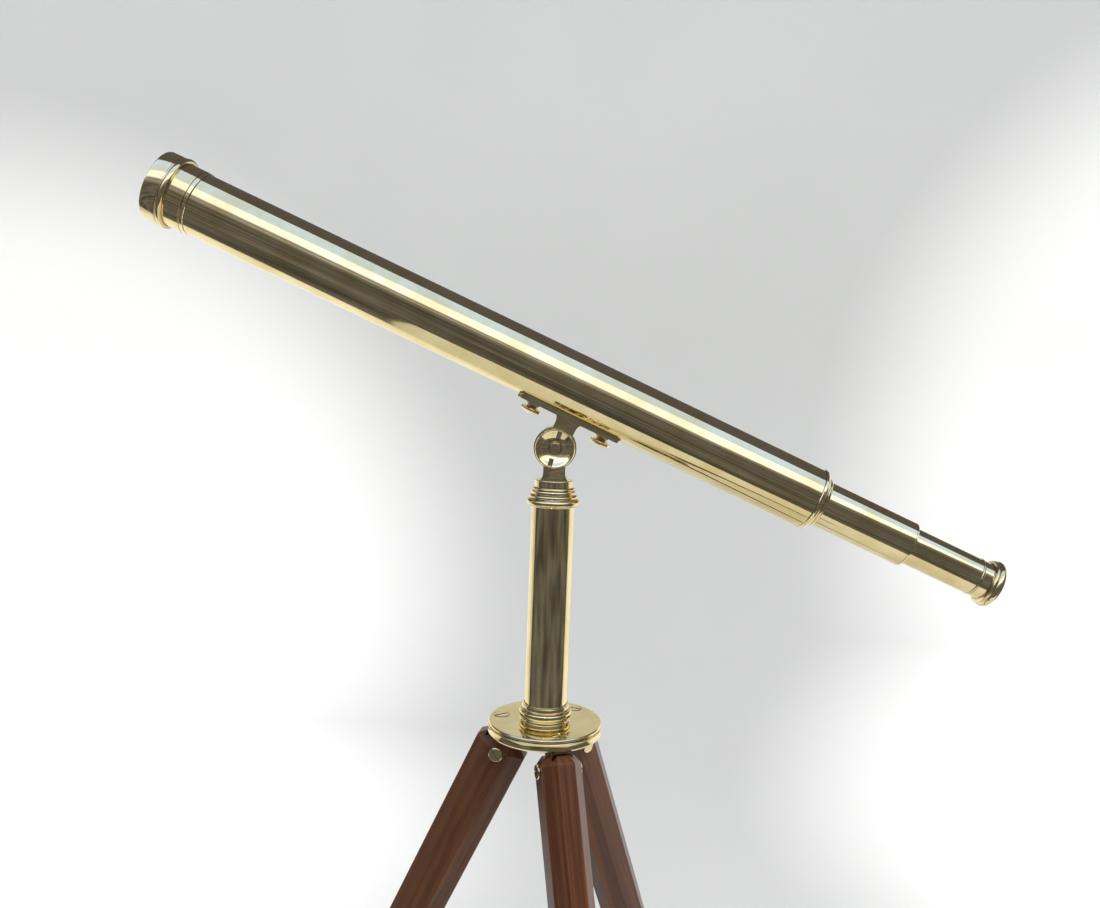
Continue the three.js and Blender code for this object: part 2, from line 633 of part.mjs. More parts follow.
// Hinge lugs hang under the plate. Local +X points outward and local Y lies along the leg's pivot.
function addLug(turn, number) {
  const top = -PLATE_THICKNESS - 0.1;
  const half = LUG_WIDTH / 2;
  const block = box([-LUG_HALF, -half, -PIVOT_DROP], [LUG_HALF, half, top]);
  const end = rod(LUG_HALF, -half, half, MEDIUM).translate(0, 0, -PIVOT_DROP);
  const hole = rod(PIN_RADIUS + GAP, -30, 30, SMALL).translate(0, 0, -PIVOT_DROP);
  const bore = rodZ(SCREW_RADIUS + GAP, top - 10.4, 0, SMALL).translate(SCREW_CIRCLE - PIVOT_CIRCLE, 0, 0);
  const lug = cut(join(block, end), hole, bore).translate(PIVOT_CIRCLE, 0, 0);
  piece(turn, `hinge_lug_${number}`, lug, darkBrass);
}

// ---- legs ----
// The leg frame has its origin on the pivot, local -Z down the leg and local +X on its outer side.
const LEG_LENGTH = (PLATE_HEIGHT - PIVOT_DROP) / Math.cos(SPLAY) - TIP_LENGTH;
const APOTHEM = Math.cos(Math.PI / OCTAGON);

// An eight-sided section, wide and deep as named, grown by extra all round.
function legSection(outline, extra = 0) {
  const points = outline.map(([down, scale]) => [-down, scale * (LEG_DEPTH / 2) / APOTHEM]);
  const geometry = turned(points, OCTAGON, Math.PI / OCTAGON).rotateX(Math.PI / 2);
  const growX = 1 + (2 * extra) / LEG_DEPTH;
  const growY = (LEG_WIDTH + 2 * extra) / LEG_DEPTH;
  return geometry.scale(growX, growY, 1);
}

const taperAt = (down) => 1 - (1 - LEG_TAPER) * (down / LEG_LENGTH);

function addLeg(frame, number) {
  const bevelScale = 1 - (2 * LEG_BEVEL) / LEG_DEPTH;
  const blank = legSection([
    [-LEG_RISE, 0],
    [-LEG_RISE, bevelScale],
    [LEG_BEVEL - LEG_RISE, 1],
    [LEG_LENGTH, LEG_TAPER],
    [LEG_LENGTH, 0],
  ]);
  const half = LUG_WIDTH / 2 + GAP;
  const mortise = box([-LUG_HALF - 1.7, -half, -LUG_HALF - 1.5], [18, half, LEG_RISE + 10]);
  const hole = rod(PIN_RADIUS + GAP, -40, 40, SMALL);
  const sleeveHole = rod(SLEEVE_RADIUS + GAP, LEG_WIDTH / 2 - 7.4, LEG_WIDTH, SMALL);
  piece(frame, `leg_${number}`, cut(blank, mortise, hole, sleeveHole), wood);

  const face = LEG_WIDTH / 2 + GAP;
  const head = face + PIN_HEAD_HEIGHT;
  const slot = (from, to) => box([-10, from, -0.7], [10, to, 0.7]).rotateY(-1.22 + 0.7 * number);
  const screw = turned([
    [-head, 0], [-head, PIN_HEAD_RADIUS - 1], [-head + 0.7, PIN_HEAD_RADIUS], [-face, PIN_HEAD_RADIUS],
    [-face, PIN_RADIUS], [face - 2.5, PIN_RADIUS], [face - 2.5, 0],
  ], SMALL);
  piece(frame, `leg_pivot_screw_${number}`, cut(screw, slot(-head - 1, -head + 1)), brass);
  const nut = turned([
    [LEG_WIDTH / 2 - 7, PIN_RADIUS + GAP], [LEG_WIDTH / 2 - 7, SLEEVE_RADIUS], [face, SLEEVE_RADIUS],
    [face, PIN_HEAD_RADIUS], [head - 0.7, PIN_HEAD_RADIUS], [head, PIN_HEAD_RADIUS - 1], [head, 0],
    [face - 1.6, 0], [face - 1.6, PIN_RADIUS + GAP],
  ], SMALL);
  piece(frame, `leg_pivot_nut_${number}`, cut(nut, slot(head - 1, head + 1)), brass);
}

function addFoot(frame, number, floor) {
  const mouth = LEG_LENGTH - FERRULE_LENGTH;
  const end = LEG_LENGTH + GAP;
  const skin = legSection([
    [mouth, 0], [mouth, taperAt(mouth)], [end + 3, LEG_TAPER], [end + 8, LEG_TAPER * 0.8], [end + 8, 0],
  ], GAP + FERRULE_WALL);
  const room = legSection([
    [mouth - 5, 0], [mouth - 5, taperAt(mouth - 5)], [end, LEG_TAPER], [end, 0],
  ], GAP);
  piece(frame, `foot_ferrule_${number}`, cut(skin, room), brass);
  const tip = rodZ(TIP_RADIUS, -end - 8 - GAP, -end - TIP_LENGTH * 2, MEDIUM);
  piece(frame, `foot_tip_${number}`, common(tip, floor), rubber);
}

function addTripodLegs(parent) {
  for (let i = 0; i < 3; i += 1) {
    const turn = new THREE.Group();
    turn.rotation.z = FIRST_LEG + (i * 2 * Math.PI) / 3;
    addLug(turn, i + 1);
    const frame = new THREE.Group();
    frame.position.set(PIVOT_CIRCLE, 0, -PIVOT_DROP);
    frame.rotation.y = -SPLAY;
    const above = box([-3000, -500, -PLATE_HEIGHT + PIVOT_DROP], [3000, 500, 500]).rotateY(SPLAY);
    addLeg(frame, i + 1);
    addFoot(frame, i + 1, above);
    turn.add(frame);
    parent.add(turn);
  }
}

// ---- assembly ----
addObjective();
addBarrel();
addDrawTubes();
addErector();
addEyepiece();
addCradle();
addTiltJoint();
addPillar();
addTripodTop();

const assembly = new THREE.Group();
assembly.add(telescope, tiltJoint, pillar, tripodTop);
addTripodLegs(assembly);

const bounds = new THREE.Box3().setFromObject(assembly, true);
const middle = bounds.getCenter(new THREE.Vector3());
assembly.position.set(-middle.x, -middle.y, -bounds.min.z);

const root = new THREE.Group();
root.name = 'brass_telescope';
root.add(assembly);
root.updateMatrixWorld(true);

export default root;
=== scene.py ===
"""A polished brass draw telescope on a pillar mount and a wooden tripod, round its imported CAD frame."""

import json
import math

import bmesh
import bpy
from mathutils import Matrix, Vector


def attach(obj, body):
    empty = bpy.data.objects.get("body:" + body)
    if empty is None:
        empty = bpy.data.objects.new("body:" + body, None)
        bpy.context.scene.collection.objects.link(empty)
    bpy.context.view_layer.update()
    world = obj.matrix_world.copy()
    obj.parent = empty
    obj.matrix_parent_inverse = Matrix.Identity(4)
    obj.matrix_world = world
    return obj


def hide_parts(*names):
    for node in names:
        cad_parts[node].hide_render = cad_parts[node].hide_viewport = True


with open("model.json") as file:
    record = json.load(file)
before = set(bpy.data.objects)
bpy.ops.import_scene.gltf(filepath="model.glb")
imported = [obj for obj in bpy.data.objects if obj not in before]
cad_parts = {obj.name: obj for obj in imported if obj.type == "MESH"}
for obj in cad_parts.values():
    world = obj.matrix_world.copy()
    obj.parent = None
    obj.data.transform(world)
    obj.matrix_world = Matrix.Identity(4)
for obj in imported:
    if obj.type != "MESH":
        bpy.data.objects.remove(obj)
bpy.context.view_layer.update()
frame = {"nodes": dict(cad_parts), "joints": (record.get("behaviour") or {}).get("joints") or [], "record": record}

# ---------------------------------------------------------------- dimensions
# Lengths are millimetres in the local frame of their group, and become metres when a mesh is made.
MM = 0.001
GAP = 0.3
AXIS_RISE = 59.0

BARREL_RADIUS = 28.575
BARREL_BORE = 26.975
BARREL_FRONT = -384.0
BARREL_BACK = 231.0
COLLAR_RADIUS = 29.7
COLLAR_FRONT = -421.0
CELL_BORE = 24.8
LENS_BORE = 26.0
CAP_MOUTH = -404.4
CAP_FRONT = -425.2
CAP_RADIUS = 32.6
CAP_BEAD_RADIUS = 33.55
DRAW_ONE_RADIUS = 21.48
DRAW_ONE_BORE = 20.28
DRAW_ONE_FRONT = 145.0
DRAW_ONE_BACK = 329.3
DRAW_TWO_RADIUS = 17.6
DRAW_TWO_BORE = 16.5
DRAW_TWO_FRONT = 254.0
DRAW_TWO_BACK = 397.0
RIM_RADIUS = 22.4
RIM_START = 408.6
EYEPIECE_BACK = 418.0

CRADLE_LENGTH = 102.0
CRADLE_WIDTH = 27.4
CRADLE_BOTTOM = AXIS_RISE - 31.0
CRADLE_CORNER = 5.0
THUMB_PLACES = {"thumbscrew_front": -35.0, "thumbscrew_rear": 35.0}
THUMB_SHANK = 2.4
KNUCKLE_RADIUS = 19.4
LEAF_HALF = 5.5
EAR_INNER = 6.4
EAR_OUTER = 11.6
BOLT_RADIUS = 5.5
NUT_RADIUS = 18.2
NUT_THICKNESS = 8.4
NUT_DISH = 25.0
NUT_DISH_RIM = 16.2

PIVOT_RISE = 258.0
PILLAR_RADIUS = 20.0
PILLAR_BORE = 18.5
PILLAR_TOP = 203.5
PILLAR_FOOT = 0.3
HEAD_TOP = 228.0
RING_RADIUS = 24.9
ROD_RADIUS = 4.0
COLLAR_TOP = 17.5

PLATE_RADIUS = 54.2
PLATE_THICKNESS = 11.4
SCREW_CIRCLE = 42.2
SCREW_HEAD_RADIUS = 7.5
SCREW_RADIUS = 3.0

LEG_WIDTH = 38.0
LEG_DEPTH = 50.0
LEG_RISE = 13.4
LEG_BEVEL = 8.8
LEG_TAPER = 0.74
LUG_WIDTH = 20.0
LUG_HALF = 9.5
PIN_RADIUS = 3.5
PIN_HEAD_RADIUS = 6.75
PIN_HEAD_HEIGHT = 1.8
SLEEVE_RADIUS = 5.0
FERRULE_LENGTH = 48.0
FERRULE_WALL = 1.6
TIP_RADIUS = 11.0
TIP_LENGTH = 22.0
PIVOT_DROP = 32.0

# Segments round each kind of turned piece
FINE = 128
MEDIUM = 72
SMALL = 40
KNUCKLE_SEGMENTS = 96
PLATE_SEGMENTS = 160

# The fillet that leaves a corner sharp, and half the length of tools that cut right through
SHARP = 0.01
THROUGH = 30.0
LEG_THROUGH = 40.0

# ---------------------------------------------------------------- frames
joints = {j["name"]: j for j in frame["joints"]}
Z = Vector((0, 0, 1))
ACROSS = Vector((0, 1, 0))


def basis(origin, x, y, z):
    """The 4x4 matrix of a local frame."""
    m = Matrix((x, y, z)).transposed().to_4x4()
    m.translation = origin
    return m


PIVOT = Vector(joints["telescope_tilt"]["pos_m"])
ALONG = Vector(joints["draw_tube_1_slide"]["axis"]).normalized()
TILT_FRAME = basis(PIVOT, ALONG, ACROSS, ALONG.cross(ACROSS))
OPTICS = TILT_FRAME @ Matrix.Translation((0, 0, AXIS_RISE * MM))
JOINT = Matrix.Translation(PIVOT)
PLATE = Matrix.Translation(Vector(joints["pillar_swivel"]["pos_m"]))
SPLAY = math.radians(joints["leg_1_fold"]["range_deg"][1])
PLATE_HEIGHT = PLATE.translation.z / MM
LEG_LENGTH = (PLATE_HEIGHT - PIVOT_DROP) / math.cos(SPLAY) - TIP_LENGTH


def leg_frame(number):
    """Origin on the leg's pivot, local -Z down the leg, +X on its outer side, +Y along the pivot."""
    joint = joints[f"leg_{number}_fold"]
    side = Vector(joint["axis"]).normalized()
    outward = side.cross(Z)
    down = outward * math.sin(SPLAY) - Z * math.cos(SPLAY)
    return basis(Vector(joint["pos_m"]), side.cross(-down), side, -down)


# ---------------------------------------------------------------- outlines
def rounded(outline, fillet, smooth=math.radians(26), support=1.2):
    """Rounds an outline's corners. Returns [(along, radius, normal, wear)] in order.

    A point may carry its own fillet as a third number. Corners gentler than smooth are part of a curve.
    wear is +1 on an outer corner and -1 in a groove, and fades to 0 over the support length.
    """
    points = [Vector(p[:2]) for p in outline]
    radii = [p[2] if len(p) > 2 else fillet for p in outline]
    count = len(points)
    area = sum(points[i - 1].x * points[i].y - points[i].x * points[i - 1].y for i in range(count))
    sign = 1 if area > 0 else -1

    def outward(direction):
        return Vector((direction.y, -direction.x)) * sign

    rows = []
    for i, p in enumerate(points):
        before, after = points[i - 1], points[(i + 1) % count]
        u, v = (before - p), (after - p)
        lu, lv = u.length, v.length
        u.normalize()
        v.normalize()
        cosine = max(-1.0, min(1.0, -u.dot(v)))
        turn = math.acos(cosine)
        if p.y < 1e-6:
            along = after - p if after.y > 1e-6 else p - before
            along.normalize()
            rows.append((p.x, 0.0, outward(along), 0.0))
            continue
        if turn < smooth:
            rows.append((p.x, p.y, (outward(-u) + outward(v)).normalized(), 0.0))
            continue
        half = math.tan(turn / 2)
        reach = min(radii[i] * half, 0.45 * lu, 0.45 * lv)
        r = reach / half
        centre = p + (u + v).normalized() * (r / math.cos(turn / 2))
        start, end = p + u * reach, p + v * reach
        bulge = 1 if (start - centre).dot(outward(-u)) > 0 else -1
        if lu > 3 * support + 2 * reach:
            q = start + u * support
            rows.append((q.x, q.y, outward(-u), 0.0))
        steps = max(3, math.ceil(math.degrees(turn) / 15))
        a0, a1 = math.atan2(*(start - centre).yx), math.atan2(*(end - centre).yx)
        while a1 - a0 > math.pi:
            a1 -= 2 * math.pi
        while a1 - a0 < -math.pi:
            a1 += 2 * math.pi
        for k in range(steps + 1):
            a = a0 + (a1 - a0) * k / steps
            n = Vector((math.cos(a), math.sin(a)))
            q = centre + n * r
            rows.append((q.x, q.y, n * bulge, bulge * min(1.0, turn / 1.2)))
        if lv > 3 * support + 2 * reach:
            q = end + v * support
            rows.append((q.x, q.y, outward(v), 0.0))
    return rows


def bead(start, end, base, top, points=14):
    """The round back of a bead between two places on a surface."""
    middle, half = (start + end) / 2, (end - start) / 2
    return [
        (middle - half * math.cos(math.pi * k / points), base + (top - base) * math.sin(math.pi * k / points))
        for k in range(points + 1)
    ]


def arc(start, end, bulge, points=8):
    """Points on a shallow arc that stands bulge proud of its chord, on the left of the way along it."""
    a, b = Vector(start), Vector(end)
    chord = b - a
    side = Vector((-chord.y, chord.x)).normalized() * bulge
    made = []
    for k in range(points + 1):
        s = k / points
        p = a + chord * s + side * (4 * s * (1 - s))
        made.append((p.x, p.y))
    return made


def sleeve(start, end, inner, outer):
    return [(start, inner), (start, outer), (end, outer), (end, inner)]


# ---------------------------------------------------------------- mesh helpers
AXES = {
    "X": (Vector((1, 0, 0)), Vector((0, 1, 0)), Vector((0, 0, 1))),
    "Y": (Vector((0, 1, 0)), Vector((0, 0, 1)), Vector((1, 0, 0))),
    "Z": (Vector((0, 0, 1)), Vector((1, 0, 0)), Vector((0, 1, 0))),
}


def new_object(name, verts, faces, matrix, normals=None, wear=None):
    """A mesh object from millimetre points in a local frame."""
    mesh = bpy.data.meshes.new(name)
    mesh.from_pydata([tuple(v * MM) for v in verts], [], faces, shade_flat=False)
    mesh.update()
    if wear is not None:
        layer = mesh.attributes.new("wear", "FLOAT", "POINT")
        layer.data.foreach_set("value", wear)
    if normals is not None:
        mesh.normals_split_custom_set_from_vertices([tuple(n) for n in normals])
    obj = bpy.data.objects.new(name, mesh)
    bpy.context.scene.collection.objects.link(obj)
    obj.matrix_world = matrix
    return obj


def strips(pairs, count):
    """The faces between pairs of rings of points. A ring of one point is a tip on the axis."""
    faces = []
    for one, two in pairs:
        if len(one) == 1 and len(two) == 1:
            continue
        for k in range(count):
            n = (k + 1) % count
            if len(one) == 1:
                faces.append((one[0], two[n], two[k]))
            elif len(two) == 1:
                faces.append((one[k], one[n], two[0]))
            else:
                faces.append((one[k], one[n], two[n], two[k]))
    return faces


def lathe(name, outline, axis, matrix, segments=FINE, fillet=0.15):
    """Turns a closed outline of (along, radius) about an axis of the local frame."""
    rows = rounded(outline, fillet)
    a_dir, b_dir, c_dir = AXES[axis]
    verts, normals, wear, rings = [], [], [], []
    for along, radius, normal, worn in rows:
        on_axis = radius < 1e-6
        ring = []
        for k in range(1 if on_axis else segments):
            angle = 2 * math.pi * k / segments
            out = b_dir * math.cos(angle) + c_dir * math.sin(angle)
            ring.append(len(verts))
            verts.append(a_dir * along + out * radius)
            if on_axis:
                normals.append((a_dir * (1 if normal.x > 0 else -1)))
            else:
                normals.append((a_dir * normal.x + out * normal.y).normalized())
            wear.append(worn)
        rings.append(ring)
    faces = strips(zip(rings, rings[1:] + rings[:1]), segments)
    first = faces[len(faces) // 2]
    p = [verts[j] for j in first]
    if (p[1] - p[0]).cross(p[2] - p[0]).dot(normals[first[0]] + normals[first[2]]) < 0:
        faces = [tuple(reversed(f)) for f in faces]
    return new_object(name, verts, faces, matrix, normals, wear)


def bar(radius, low, high, axis, matrix, segments=48):
    """A plain round bar, used only to join or to cut."""
    return lathe("bar", [(low, 0), (low, radius), (high, radius), (high, 0)], axis, matrix, segments, SHARP)


def prism(name, outline, axis, low, high, matrix):
    """An outline of points in a plane across an axis, given a thickness along it."""
    a_dir, b_dir, c_dir = AXES[axis]
    n = len(outline)
    verts = [a_dir * h + b_dir * b + c_dir * c for h in (low, high) for b, c in outline]
    area = sum(outline[i - 1][0] * outline[i][1] - outline[i][0] * outline[i - 1][1] for i in range(n))
    faces = [tuple(range(n))[::-1], tuple(range(n, 2 * n))]
    faces += [(i, (i + 1) % n, n + (i + 1) % n, n + i) for i in range(n)]
    if area < 0:
        faces = [tuple(reversed(f)) for f in faces]
    return new_object(name, verts, faces, matrix)


def block(low, high, matrix):
    """A box between two corners, used only to cut with."""
    outline = [(low[0], low[1]), (high[0], low[1]), (high[0], high[1]), (low[0], high[1])]
    return prism("cutter", outline, "Z", low[2], high[2], matrix)


def applied(obj):
    """Bakes an object's modifiers into its mesh."""
    bpy.context.view_layer.update()
    graph = bpy.context.evaluated_depsgraph_get()
    mesh = bpy.data.meshes.new_from_object(obj.evaluated_get(graph))
    obj.modifiers.clear()
    old, obj.data = obj.data, mesh
    mesh.name = obj.name
    bpy.data.meshes.remove(old)


def carve(obj, how, *tools):
    """Joins, cuts or intersects an object with tools, and removes the tools."""
    for tool in tools:
        modifier = obj.modifiers.new("carve", "BOOLEAN")
        modifier.operation = how
        modifier.solver = "EXACT"
        modifier.object = tool
        applied(obj)
        bpy.data.objects.remove(tool)


def soften(obj, width=0.25, angle=40.0, segments=2):
    """Breaks the sharp edges of a carved piece and gives it clean normals."""
    mesh = obj.data
    if "custom_normal" in mesh.attributes:
        mesh.attributes.remove(mesh.attributes["custom_normal"])
    bm = bmesh.new()
    bm.from_mesh(mesh)
    bmesh.ops.remove_doubles(bm, verts=bm.verts, dist=0.004 * MM)
    bmesh.ops.dissolve_degenerate(bm, edges=bm.edges, dist=0.004 * MM)
    bm.to_mesh(mesh)
    bm.free()
    if width:
        bevel = obj.modifiers.new("edges", "BEVEL")
        bevel.width = width * MM
        bevel.segments = segments
        bevel.limit_method = "ANGLE"
        bevel.angle_limit = math.radians(angle)
        bevel.miter_outer = "MITER_ARC"
        bevel.use_clamp_overlap = True
        applied(obj)
    obj.data.shade_smooth()
    obj.data.set_sharp_from_angle(angle=math.radians(angle))
    weighted = obj.modifiers.new("normals", "WEIGHTED_NORMAL")
    weighted.keep_sharp = True
    weighted.weight = 50
    applied(obj)


def mounted(obj, body, material, node):
    """Hands a finished piece to the frame in place of its CAD node.

    The mesh moves into the shared frame, and keeps its place in its own frame as the attribute "local".
    """
    mesh = obj.data
    places = [0.0] * (3 * len(mesh.vertices))
    mesh.vertices.foreach_get("co", places)
    mesh.attributes.new("local", "FLOAT_VECTOR", "POINT").data.foreach_set("vector", places)
    mesh.transform(obj.matrix_world)
    obj.matrix_world = Matrix.Identity(4)
    mesh.materials.clear()
    mesh.materials.append(material)
    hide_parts(node)
    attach(obj, body)


def optic(name, outline, body, material, node, segments=FINE, fillet=0.15):
    """Turns a piece about the optical axis and hands it to the frame."""
    mounted(lathe(name, outline, "X", OPTICS, segments, fillet), body, material, node)


def slotted(obj, low, high, matrix, width, body, node):
    """Saws a slot across a turned brass screw, and hands it to the frame."""
    carve(obj, "DIFFERENCE", block(low, high, matrix))
    soften(obj, width)
    mounted(obj, body, TURNED_BRASS, node)


# ---------------------------------------------------------------- materials
class Graph:
    """A short way to write a material's nodes."""

    def __init__(self, name, local=False):
        self.material = bpy.data.materials.new(name)
        self.material.use_nodes = True
        self.tree = self.material.node_tree
        self.tree.nodes.clear()
        self.output = self.tree.nodes.new("ShaderNodeOutputMaterial")
        if local:
            self.coords = self.node("ShaderNodeAttribute", attribute_name="local").outputs["Vector"]
        else:
            self.coords = self.tree.nodes.new("ShaderNodeTexCoord").outputs["Object"]

    def node(self, kind, inputs=None, **settings):
        made = self.tree.nodes.new(kind)
        for key, value in settings.items():
            setattr(made, key, value)
        for key, value in (inputs or {}).items():
            socket = made.inputs[key]
            if isinstance(value, bpy.types.NodeSocket):
                self.tree.links.new(value, socket)
            else:
                socket.default_value = value
        return made

    def scaled(self, scale):
        """The piece's own coordinates in millimetres times scale along each axis."""
        size = [s / MM for s in scale]
        return self.node("ShaderNodeMapping", {"Vector": self.coords, "Scale": size}).outputs["Vector"]

    def noise(self, scale, detail=3.0, roughness=0.5, distortion=0.0):
        inputs = {"Vector": self.scaled(scale), "Scale": 1.0, "Detail": detail}
        inputs |= {"Roughness": roughness, "Distortion": distortion}
        return self.node("ShaderNodeTexNoise", inputs).outputs["Fac"]

    def spread(self, value, low, high, start=0.0, end=1.0):
        """Maps a value from low..high to start..end."""
        inputs = {0: value, 1: low, 2: high, 3: start, 4: end}
        return self.node("ShaderNodeMapRange", inputs, interpolation_type="SMOOTHSTEP").outputs[0]

    def maths(self, operation, a, b=0.0):
        return self.node("ShaderNodeMath", {0: a, 1: b}, operation=operation).outputs[0]

    def vector(self, operation, a, b):
        return self.node("ShaderNodeVectorMath", {0: a, 1: b}, operation=operation)

    def mix(self, factor, a, b, blend="MIX"):
        made = self.node("ShaderNodeMix", data_type="RGBA", blend_type=blend)
        for index, value in ((0, factor), (6, a), (7, b)):
            socket = made.inputs[index]
            if isinstance(value, bpy.types.NodeSocket):
                self.tree.links.new(value, socket)
            elif index:
                socket.default_value = (*value, 1.0)
            else:
                socket.default_value = value
        return made.outputs[2]

    def bump(self, height, strength, distance, normal=None):
        inputs = {"Height": height, "Strength": strength, "Distance": distance * MM}
        if normal is not None:
            inputs["Normal"] = normal
        return self.node("ShaderNodeBump", inputs).outputs["Normal"]

    def wear(self):
        return self.node("ShaderNodeAttribute", attribute_name="wear").outputs["Fac"]

    def surface(self, inputs, kind="ShaderNodeBsdfPrincipled"):
        """Ends the material with a shader that has these inputs."""
        self.tree.links.new(self.node(kind, inputs).outputs[0], self.output.inputs["Surface"])
        return self.material


def brass(name, tone, roughness, streak, grime=0.5, coat=0.35, wave=0.012):
    """Lacquered brass. streak is the direction of the polishing lines: along an axis, or None."""
    g = Graph(name, streak is not None)
    stretch = {"X": (0.006, 0.9, 0.9), "Z": (0.9, 0.9, 0.006), None: (0.25, 0.25, 0.25)}[streak]
    lines = g.noise(stretch, 4.0, 0.6)
    cloud = g.noise((0.03, 0.03, 0.03), 3.0, 0.55)
    smear = g.noise((0.012, 0.02, 0.05), 5.0, 0.6, 0.6)
    specks = g.spread(g.noise((1.3, 1.3, 1.3), 2.0), 0.7, 0.78)
    worn = g.wear()
    deep = tuple(c * k for c, k in zip(tone, (0.86, 0.8, 0.66)))
    pale = tuple(min(1.0, c * k) for c, k in zip(tone, (1.03, 1.03, 1.09)))
    colour = g.mix(g.spread(cloud, 0.3, 0.75), tone, deep)
    colour = g.mix(g.spread(lines, 0.45, 0.8, 0.0, 0.35), colour, pale)
    colour = g.mix(g.maths("MULTIPLY", specks, 0.35), colour, tuple(c * 0.6 for c in tone))
    groove = g.spread(worn, 0.0, -1.0, 0.0, grime)
    colour = g.mix(groove, colour, (0.16, 0.095, 0.035))
    crest = g.spread(worn, 0.0, 1.0, 0.0, 0.5)
    colour = g.mix(crest, colour, tuple(min(1.0, c * 1.1) for c in pale))
    rough = g.spread(smear, 0.35, 0.75, roughness * 0.75, roughness * 1.6)
    rough = g.maths("ADD", rough, g.maths("MULTIPLY", specks, 0.12))
    rough = g.maths("ADD", rough, g.maths("MULTIPLY", groove, 0.25))
    ripple = g.bump(g.noise((0.022, 0.022, 0.022), 1.0), wave * 4, 3.0)
    normal = g.bump(lines, wave, 1.0, ripple)
    inputs = {"Base Color": colour, "Roughness": rough, "Normal": normal, "Metallic": 1.0}
    inputs |= {"Coat Weight": coat, "Coat Roughness": 0.03, "Specular Tint": (1.0, 0.98, 0.9, 1.0)}
    return g.surface(inputs)


def wood(name):
    """Dark reddish brown hardwood with a satin varnish. The grain runs along local Z."""
    g = Graph(name, True)
    slow = g.scaled((0.012, 0.012, 0.0022))
    bend = g.node("ShaderNodeTexNoise", {"Vector": slow, "Scale": 1.0, "Detail": 2.0}).outputs["Color"]
    base = g.scaled((0.05, 0.085, 0.0021))
    bend = g.vector("MULTIPLY", bend, (1.6, 1.6, 0.25)).outputs[0]
    warped = g.vector("ADD", base, bend).outputs[0]
    inputs = {"Vector": warped, "Scale": 2.2, "Detail": 5.0, "Roughness": 0.62}
    figure = g.node("ShaderNodeTexNoise", inputs).outputs["Fac"]
    inputs = {"Vector": warped, "Scale": 0.75, "Distortion": 3.2, "Detail": 3.0, "Detail Scale": 1.4}
    rings = g.node("ShaderNodeTexWave", inputs, bands_direction="DIAGONAL").outputs["Fac"]
    fibres = g.noise((1.4, 1.4, 0.012), 4.0, 0.7)
    pores = g.spread(g.noise((3.2, 3.2, 0.05), 2.0, 0.5), 0.64, 0.75)
    colour = g.mix(g.spread(figure, 0.32, 0.7), (0.052, 0.0162, 0.0058), (0.132, 0.0455, 0.0122))
    colour = g.mix(g.spread(rings, 0.2, 0.95, 0.0, 0.4), colour, (0.082, 0.0272, 0.0078))
    colour = g.mix(g.spread(fibres, 0.35, 0.75, 0.0, 0.3), colour, (0.026, 0.007, 0.0035))
    colour = g.mix(g.maths("MULTIPLY", pores, 0.65), colour, (0.010, 0.0035, 0.002))
    worn = g.wear()
    colour = g.mix(g.spread(worn, 0.0, 1.0, 0.0, 0.35), colour, (0.17, 0.058, 0.024))
    rough = g.spread(figure, 0.3, 0.75, 0.3, 0.42)
    rough = g.maths("ADD", rough, g.maths("MULTIPLY", pores, 0.2))
    grain = g.bump(fibres, 0.10, 0.25)
    normal = g.bump(g.maths("SUBTRACT", 1.0, pores), 0.30, 0.15, grain)
    inputs = {"Base Color": colour, "Roughness": rough, "Normal": normal, "Specular IOR Level": 0.35}
    return g.surface({**inputs, "Coat Weight": 0.08, "Coat Roughness": 0.25})


def dull(name, low, high, rough, scale, bump=0.2, metallic=0.0):
    """A matt finish mottled between two colours."""
    g = Graph(name)
    mottle = g.noise((scale,) * 3, 5.0, 0.6)
    fine = g.noise((scale * 9,) * 3, 2.0)
    colour = g.mix(g.spread(mottle, 0.3, 0.7), low, high)
    normal = g.bump(fine, bump, 0.2)
    rough = g.spread(fine, 0.3, 0.7, rough * 0.85, min(1.0, rough * 1.15))
    return g.surface({"Base Color": colour, "Roughness": rough, "Normal": normal, "Metallic": metallic})


def lens(name):
    """Optical glass with a trace of dust."""
    g = Graph(name)
    dust = g.spread(g.noise((0.5, 0.5, 0.5), 4.0), 0.55, 0.85)
    tint = g.mix(g.noise((0.05, 0.05, 0.05)), (0.93, 0.98, 0.97), (0.98, 0.99, 1.0))
    rough = g.maths("MULTIPLY", dust, 0.12)
    return g.surface({"Base Color": tint, "Roughness": rough, "Transmission Weight": 1.0, "IOR": 1.52})


TONE = (0.875, 0.745, 0.41)
TUBE_BRASS = brass("tube_brass", TONE, 0.055, "X")
PILLAR_BRASS = brass("pillar_brass", TONE, 0.07, "Z")
TURNED_BRASS = brass("turned_brass", TONE, 0.075, None)
CAST_BRASS = brass("cast_brass", tuple(c * 0.97 for c in TONE), 0.09, None, wave=0.03)
PLATE_BRASS = brass("plate_brass", (0.86, 0.72, 0.38), 0.10, None, wave=0.015)
DARK_BRASS = brass("dark_brass", (0.42, 0.32, 0.16), 0.32, None, coat=0.0)
WOOD = wood("leg_wood")
BLACK = dull("optical_black", (0.012, 0.011, 0.009), (0.03, 0.027, 0.022), 0.8, 0.1)
STEEL = dull("steel", (0.42, 0.43, 0.44), (0.56, 0.57, 0.58), 0.35, 0.15, 0.1, 1.0)
LEATHER = dull("washer_leather", (0.035, 0.022, 0.014), (0.09, 0.06, 0.04), 0.8, 0.3, 0.5)
RUBBER = dull("foot_rubber", (0.010, 0.010, 0.010), (0.03, 0.03, 0.03), 0.75, 0.08, 0.4)
GLASS = lens("lens_glass")

